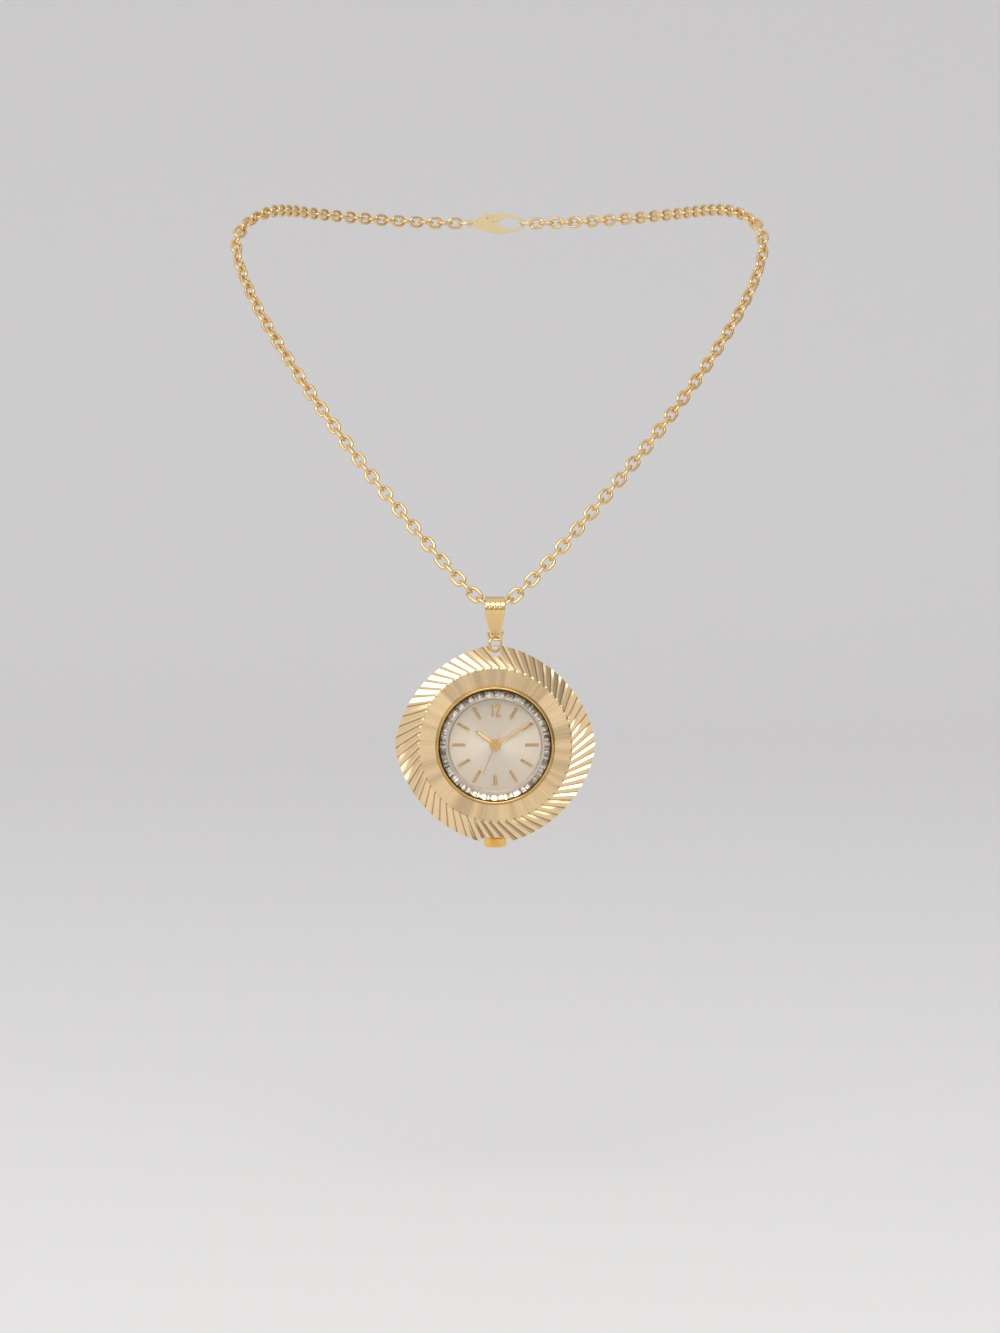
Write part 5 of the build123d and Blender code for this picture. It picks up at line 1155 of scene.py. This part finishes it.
def marker_tree():
    """A roofed baton, set on every point and turned and sized by the point's own values."""
    tree, entry, end = geometry_tree("hour_markers", (
        ("Height", "NodeSocketFloat", MARKER_TALL), ("Roof", "NodeSocketFloat", MARKER_TOP_SHARE),
        ("Material", "NodeSocketMaterial", None)))
    height = Formula(tree, entry.outputs["Height"])
    side = height * MARKER_SIDE_SHARE
    block = add_node(tree, "GeometryNodeMeshCube", {"Size": (1.0, 1.0, 1.0)})
    low = add_node(tree, "ShaderNodeCombineXYZ", {"X": 1.0, "Y": 1.0, "Z": side})
    lift = add_node(tree, "ShaderNodeCombineXYZ", {"Z": side * 0.5})
    base = add_node(tree, "GeometryNodeTransform", {
        "Geometry": block.outputs[0], "Scale": low.outputs[0], "Translation": lift.outputs[0]})
    normal = add_node(tree, "GeometryNodeInputNormal")
    parts = add_node(tree, "ShaderNodeSeparateXYZ", {0: normal.outputs[0]})
    upper = Formula(tree, parts.outputs[2]).maths("GREATER_THAN", 0.5)
    roof = add_node(tree, "GeometryNodeExtrudeMesh", {
        "Mesh": base.outputs[0], "Selection": upper, "Offset Scale": height * (1.0 - MARKER_SIDE_SHARE)})
    shaped = add_node(tree, "GeometryNodeScaleElements", {
        "Geometry": roof.outputs[0], "Selection": roof.outputs["Top"], "Scale": entry.outputs["Roof"]})
    turn = add_node(tree, "GeometryNodeInputNamedAttribute", {"Name": "turn"}, data_type="FLOAT_VECTOR")
    size = add_node(tree, "GeometryNodeInputNamedAttribute", {"Name": "size"}, data_type="FLOAT_VECTOR")
    spread = add_node(tree, "GeometryNodeInstanceOnPoints", {
        "Points": entry.outputs["Geometry"], "Instance": shaped.outputs[0],
        "Rotation": turn.outputs[0], "Scale": size.outputs[0]})
    finish_tree(tree, end, spread.outputs[0])
    return tree


def marker_points(sizes):
    """Middle, turn and size of each baton, with two thin ones side by side at six."""
    rows = []
    for hour in range(1, 12):
        turn = -math.radians(HOUR_TURN * hour)
        wide, inner, outer, shifts = sizes.marker_wide, sizes.marker_inner, sizes.marker_outer, (0.0,)
        if hour == SIX:
            wide, inner, outer = SIX_WIDE, SIX_INNER, SIX_OUTER
            shifts = (-(SIX_WIDE + SIX_GAP) / 2, (SIX_WIDE + SIX_GAP) / 2)
        for shift in shifts:
            middle = Matrix.Rotation(turn, 3, "Z") @ Vector((shift, (inner + outer) / 2, 0.0))
            rows.append((middle, (0.0, 0.0, turn), (wide, outer - inner, 1.0)))
    return rows


class PENDANT_OT_dial(Operator):
    """Finish the silvered dial and set its batons and its numeral"""
    bl_idname = "pendant.dial"
    bl_label = "Dial and markers"

    def execute(self, context):
        plate = new_piece("dial_plate", *lathe((
            (DIAL_HOLE, -DIAL_THICK), (DIAL_RADIUS, -DIAL_THICK), (DIAL_RADIUS, 0.0), (DIAL_HOLE, 0.0))))
        outward(plate)
        brushing_map(plate)
        seat(smooth(plate, LATHE_EDGES), "head", sunburst_silver(), ["dial"])
        gold = polished_gold("marker_gold", tuple(context.scene.pendant_gold.markers))
        rows = marker_points(context.scene.pendant_dial)
        markers = new_piece("batons", [row[0] for row in rows], [], Matrix.Identity(4))
        set_vectors(markers, "turn", [row[1] for row in rows])
        set_vectors(markers, "size", [row[2] for row in rows])
        bake_nodes(markers, marker_tree(), {"Material": gold})
        markers.data.transform(HEAD)
        seat(markers, "head", nodes=["hour_markers"])
        numeral = merged_copy("numeral_twelve", "numeral_smooth", NUMERAL_EDGES)
        seat(numeral, "head", gold, ["numeral_twelve"])
        return {"FINISHED"}


# Hands

HAND_RIDGE_SHARE = 0.4
HUB_SIDES = 64

# Shares of a hand's length and width, from the hub to the tip, and of its width at the tail's end
BLADE_SHARES = ((0.0, 0.7), (0.45, 1.0), (0.9, 0.7), (1.0, 0.12))
TAIL_SHARE = 0.35

# Radius and depth of each point of the groove round the cap of the second hand, and the cap's edge
CAP_GROOVE = ((0.58 * MM, 0.0), (0.52 * MM, 0.04 * MM), (0.4 * MM, 0.04 * MM), (0.35 * MM, 0.0))
CAP_RADIUS = 0.35 * MM
CAP_TOP_RADIUS = 0.3 * MM
CAP_EDGE = 0.05 * MM


def hand_mesh(plan):
    """A ridged, tapered blade and a turned hub, set to its place on the dial."""
    side = plan["low"] + plan["thick"] * HAND_RIDGE_SHARE
    top = plan["low"] + plan["thick"]
    stations = [(-plan["tail"], TAIL_SHARE)] + [(plan["long"] * far, wide) for far, wide in BLADE_SHARES]
    points = []
    for reach_out, share in stations:
        half = plan["wide"] * share / 2
        points += [(-half, reach_out, plan["low"]), (half, reach_out, plan["low"]), (half, reach_out, side),
                   (0.0, reach_out, top), (-half, reach_out, side)]
    corners = len(points) // len(stations)
    faces = ring_faces(len(stations), corners, closed=False)
    faces += [tuple(range(corners - 1, -1, -1)), tuple(range(len(points) - corners, len(points)))]
    edge = plan["thick"] * HAND_RIDGE_SHARE
    hub = [(plan["bore"], plan["low"]), (plan["hub"], plan["low"]), (plan["hub"], side),
           (plan["hub"] - edge, top)]
    if plan["cap"]:
        hub += [(radius, top - deep) for radius, deep in CAP_GROOVE]
        hub += [(CAP_RADIUS, plan["cap"] - CAP_EDGE), (CAP_TOP_RADIUS, plan["cap"])]
    hub.append((plan["bore"], plan["cap"] or top))
    round_points, round_faces = lathe(hub, HUB_SIDES)
    offset = len(points)
    faces += [tuple(index + offset for index in face) for face in round_faces]
    turn = Matrix.Rotation(-math.radians(plan["angle"]), 4, "Z")
    return [turn @ Vector(point) for point in points + round_points], faces


HAND_PLANS = (
    {"name": "hour_blade", "node": "hour_hand", "body": "hour", "long": 4.8 * MM, "wide": 0.5 * MM,
     "tail": 0.0, "low": 0.35 * MM, "thick": 0.15 * MM, "hub": 1.15 * MM, "bore": 0.61 * MM,
     "cap": 0.0, "angle": 305.5},
    {"name": "minute_blade", "node": "minute_hand", "body": "cannon", "long": 8.65 * MM, "wide": 0.42 * MM,
     "tail": 0.0, "low": 0.65 * MM, "thick": 0.15 * MM, "hub": 1.03 * MM, "bore": 0.43 * MM,
     "cap": 0.0, "angle": 58.0},
    {"name": "second_blade", "node": "second_hand", "body": "fourth", "long": 7.0 * MM, "wide": 0.14 * MM,
     "tail": 2.7 * MM, "low": 0.95 * MM, "thick": 0.1 * MM, "hub": 0.8 * MM, "bore": 0.1 * MM,
     "cap": 1.3 * MM, "angle": 203.0},
)


class PENDANT_OT_hands(Operator):
    """Make the three hands"""
    bl_idname = "pendant.hands"
    bl_label = "Hands"

    def execute(self, context):
        gold = polished_gold("hand_gold", tuple(context.scene.pendant_gold.deep))
        for plan in HAND_PLANS:
            hand = new_piece(plan["name"], *hand_mesh(plan))
            outward(hand)
            seat(smooth(hand, HAND_EDGES), plan["body"], gold, [plan["node"]])
        return {"FINISHED"}


# Case, crown and the works inside

class PENDANT_OT_case(Operator):
    """Finish the case, its back, its seals, the tube and the ribbed crown"""
    bl_idname = "pendant.case"
    bl_label = "Case and crown"

    def execute(self, context):
        case_gold = case_metal(tuple(context.scene.pendant_gold.chain))
        deep = polished_gold("deep_gold", tuple(context.scene.pendant_gold.deep))
        steel = brushed_metal("back_steel", *STEELS["back_steel"])
        copies = (
            ("case_body", "case_smooth", CASE_EDGES, "head", "case_gold", case_gold),
            ("case_back", "back_smooth", CASE_EDGES, "head", "back_steel", steel),
            ("crown_tube", "tube_smooth", CASE_EDGES, "head", "case_gold", case_gold),
            ("crown", "crown_ribbed", CROWN_EDGES, "crown", "deep_gold", deep),
        )
        for node, name, edges, body, slot, material in copies:
            seat(merged_copy(node, name, edges), body, material, [node])
        rubber = seal_rubber()
        for node in ("case_back_gasket", "crown_gasket"):
            dress(node, rubber)
        return {"FINISHED"}


WHEEL_NODES = ("barrel", "centre_wheel", "third_wheel", "fourth_wheel", "cannon_pinion", "hour_wheel",
               "minute_wheel", "balance_wheel")
STEEL_NODES = ("bridge_screws", "winding_stem", "winding_pinion", "clutch_wheel", "setting_lever",
               "crown_wheel", "crown_wheel_core", "ratchet_wheel", "barrel_arbor", "click",
               "escape_wheel", "pallet_fork")
PLATE_NODES = ("main_plate", "train_bridge", "bridge_pillars", "balance_cock", "movement_ring")
SPRING_NODES = ("mainspring", "click_spring", "hairspring")


class PENDANT_OT_works(Operator):
    """Finish the plates, wheels, screws and springs inside the case"""
    bl_idname = "pendant.works"
    bl_label = "Works"

    def execute(self, context):
        finishes = (
            (WHEEL_NODES, polished_gold("wheel_brass", BRASS)),
            (STEEL_NODES, brushed_metal("work_steel", *STEELS["work_steel"])),
            (PLATE_NODES, grained_nickel()),
            (SPRING_NODES, bpy.data.materials["spring_blue"]),
        )
        for nodes, material in finishes:
            for node in nodes:
                dress(node, material)
        return {"FINISHED"}


# Stage, light and camera

FLOOR_HEIGHT = -0.201
STAGE_HALF = 2.0
STAGE_BACK = 1.7
STAGE_FRONT = -2.2
STAGE_WALL = 2.6
STAGE_BEND = 0.6
BEND_STEPS = 16
STAGE_COLOUR = (0.86, 0.85, 0.84)
CAMERA_TARGET = Vector((0.00096, -0.05285, -0.08410))
CAMERA_DISTANCE = 0.7369
CAMERA_RISE = math.radians(4.0)
CAMERA_LENS = 100.0
CAMERA_NEAR = 0.01
CAMERA_FAR = 20.0

# Name, place, width, height and power of each soft lamp
LAMPS = (
    ("lamp_top_front", (-0.05, -0.85, 0.55), 0.7, 0.5, 3.6),
    ("lamp_left", (-1.43, -1.02, 0.65), 0.45, 1.05, 2.5),
    ("lamp_right", (0.68, -1.55, 0.58), 0.38, 0.75, 1.1),
)

# The room's colours away from its bright side and at it, and where that side lies
ROOM_DIM = (0.08, 0.08, 0.09)
ROOM_BRIGHT = (0.88, 0.88, 0.89)
ROOM_SLOPE = (-0.45, 0.0, 0.80)


def stage_sheet():
    """A pale floor that bends up into a wall behind the watch."""
    side_view = [(STAGE_FRONT, FLOOR_HEIGHT), (STAGE_BACK - STAGE_BEND, FLOOR_HEIGHT)]
    for step in range(1, BEND_STEPS + 1):
        turn = math.radians(90.0) * step / BEND_STEPS
        side_view.append((STAGE_BACK - STAGE_BEND + STAGE_BEND * math.sin(turn),
                          FLOOR_HEIGHT + STAGE_BEND * (1.0 - math.cos(turn))))
    side_view.append((STAGE_BACK, STAGE_WALL))
    points = [(side, depth, height) for depth, height in side_view for side in (-STAGE_HALF, STAGE_HALF)]
    faces = [(2 * row, 2 * row + 1, 2 * row + 3, 2 * row + 2) for row in range(len(side_view) - 1)]
    sheet = new_piece("stage_sheet", points, faces, Matrix.Identity(4))
    sheet.data.materials.append(pale_plain("stage_pale", STAGE_COLOUR))
    smooth(sheet, STAGE_EDGES)


def lamp(name, place, wide, tall, power):
    """A soft lamp that shines at the dial and isn't seen itself."""
    data = bpy.data.lights.new(name, "AREA")
    data.shape = "RECTANGLE"
    data.size = wide
    data.size_y = tall
    data.energy = power
    light = bpy.data.objects.new(name, data)
    light.location = place
    light.rotation_euler = (HEAD_CENTRE - Vector(place)).to_track_quat("-Z", "Y").to_euler()
    light.visible_camera = False
    bpy.context.scene.collection.objects.link(light)


class PENDANT_OT_stage(Operator):
    """Set the pale stage, the soft lamps and the camera"""
    bl_idname = "pendant.stage"
    bl_label = "Stage, light and camera"

    def execute(self, context):
        scene = context.scene
        stage_sheet()
        for plan in LAMPS:
            lamp(*plan)
        world = bpy.data.worlds.new("room")
        world.use_nodes = True
        tree = world.node_tree
        direction = add_node(tree, "ShaderNodeTexCoord").outputs["Generated"]
        slope = add_node(tree, "ShaderNodeVectorMath", {0: direction, 1: ROOM_SLOPE},
                         operation="DOT_PRODUCT")
        share = remap(tree, slope.outputs["Value"], SIGNED_SPAN, WHOLE_SPAN)
        tree.links.new(blend_colours(tree, share, ROOM_DIM, ROOM_BRIGHT), tree.nodes["Background"].inputs[0])
        tree.nodes["Background"].inputs[1].default_value = 1.0
        scene.world = world
        scene.view_settings.view_transform = "Standard"
        data = bpy.data.cameras.new("camera")
        data.lens = CAMERA_LENS
        data.clip_start = CAMERA_NEAR
        data.clip_end = CAMERA_FAR
        camera = bpy.data.objects.new("camera", data)
        back = Vector((0.0, -math.cos(CAMERA_RISE), math.sin(CAMERA_RISE)))
        camera.location = CAMERA_TARGET + back * CAMERA_DISTANCE
        camera.rotation_euler = (-back).to_track_quat("-Z", "Y").to_euler()
        scene.collection.objects.link(camera)
        scene.camera = camera
        return {"FINISHED"}


class PENDANT_PT_pieces(Panel):
    """Lists the pieces of the watch"""
    bl_idname = "PENDANT_PT_pieces"
    bl_label = "Pendant watch"
    bl_space_type = "VIEW_3D"
    bl_region_type = "UI"
    bl_category = "Pendant watch"

    def draw(self, context):
        for operator in OPERATORS:
            self.layout.operator(operator.bl_idname)


OPERATORS = (PENDANT_OT_stage, PENDANT_OT_chain, PENDANT_OT_clasp, PENDANT_OT_bail, PENDANT_OT_frame,
             PENDANT_OT_crystal, PENDANT_OT_dial, PENDANT_OT_hands, PENDANT_OT_case, PENDANT_OT_works)
GROUPS = (("pendant_chain", ChainSizes), ("pendant_frame", FrameSizes), ("pendant_bail", BailSizes),
          ("pendant_dial", DialSizes), ("pendant_gold", GoldColours))


def register():
    for name, group in GROUPS:
        bpy.utils.register_class(group)
        setattr(bpy.types.Scene, name, PointerProperty(type=group))
    for operator in OPERATORS:
        bpy.utils.register_class(operator)
    bpy.utils.register_class(PENDANT_PT_pieces)


def unregister():
    bpy.utils.unregister_class(PENDANT_PT_pieces)
    for operator in reversed(OPERATORS):
        bpy.utils.unregister_class(operator)
    for name, group in reversed(GROUPS):
        delattr(bpy.types.Scene, name)
        bpy.utils.unregister_class(group)


def main():
    register()
    bpy.ops.pendant.stage()
    bpy.ops.pendant.chain()
    bpy.ops.pendant.clasp()
    bpy.ops.pendant.bail()
    bpy.ops.pendant.frame()
    bpy.ops.pendant.crystal()
    bpy.ops.pendant.dial()
    bpy.ops.pendant.hands()
    bpy.ops.pendant.case()
    bpy.ops.pendant.works()


if __name__ == "__main__":
    main()
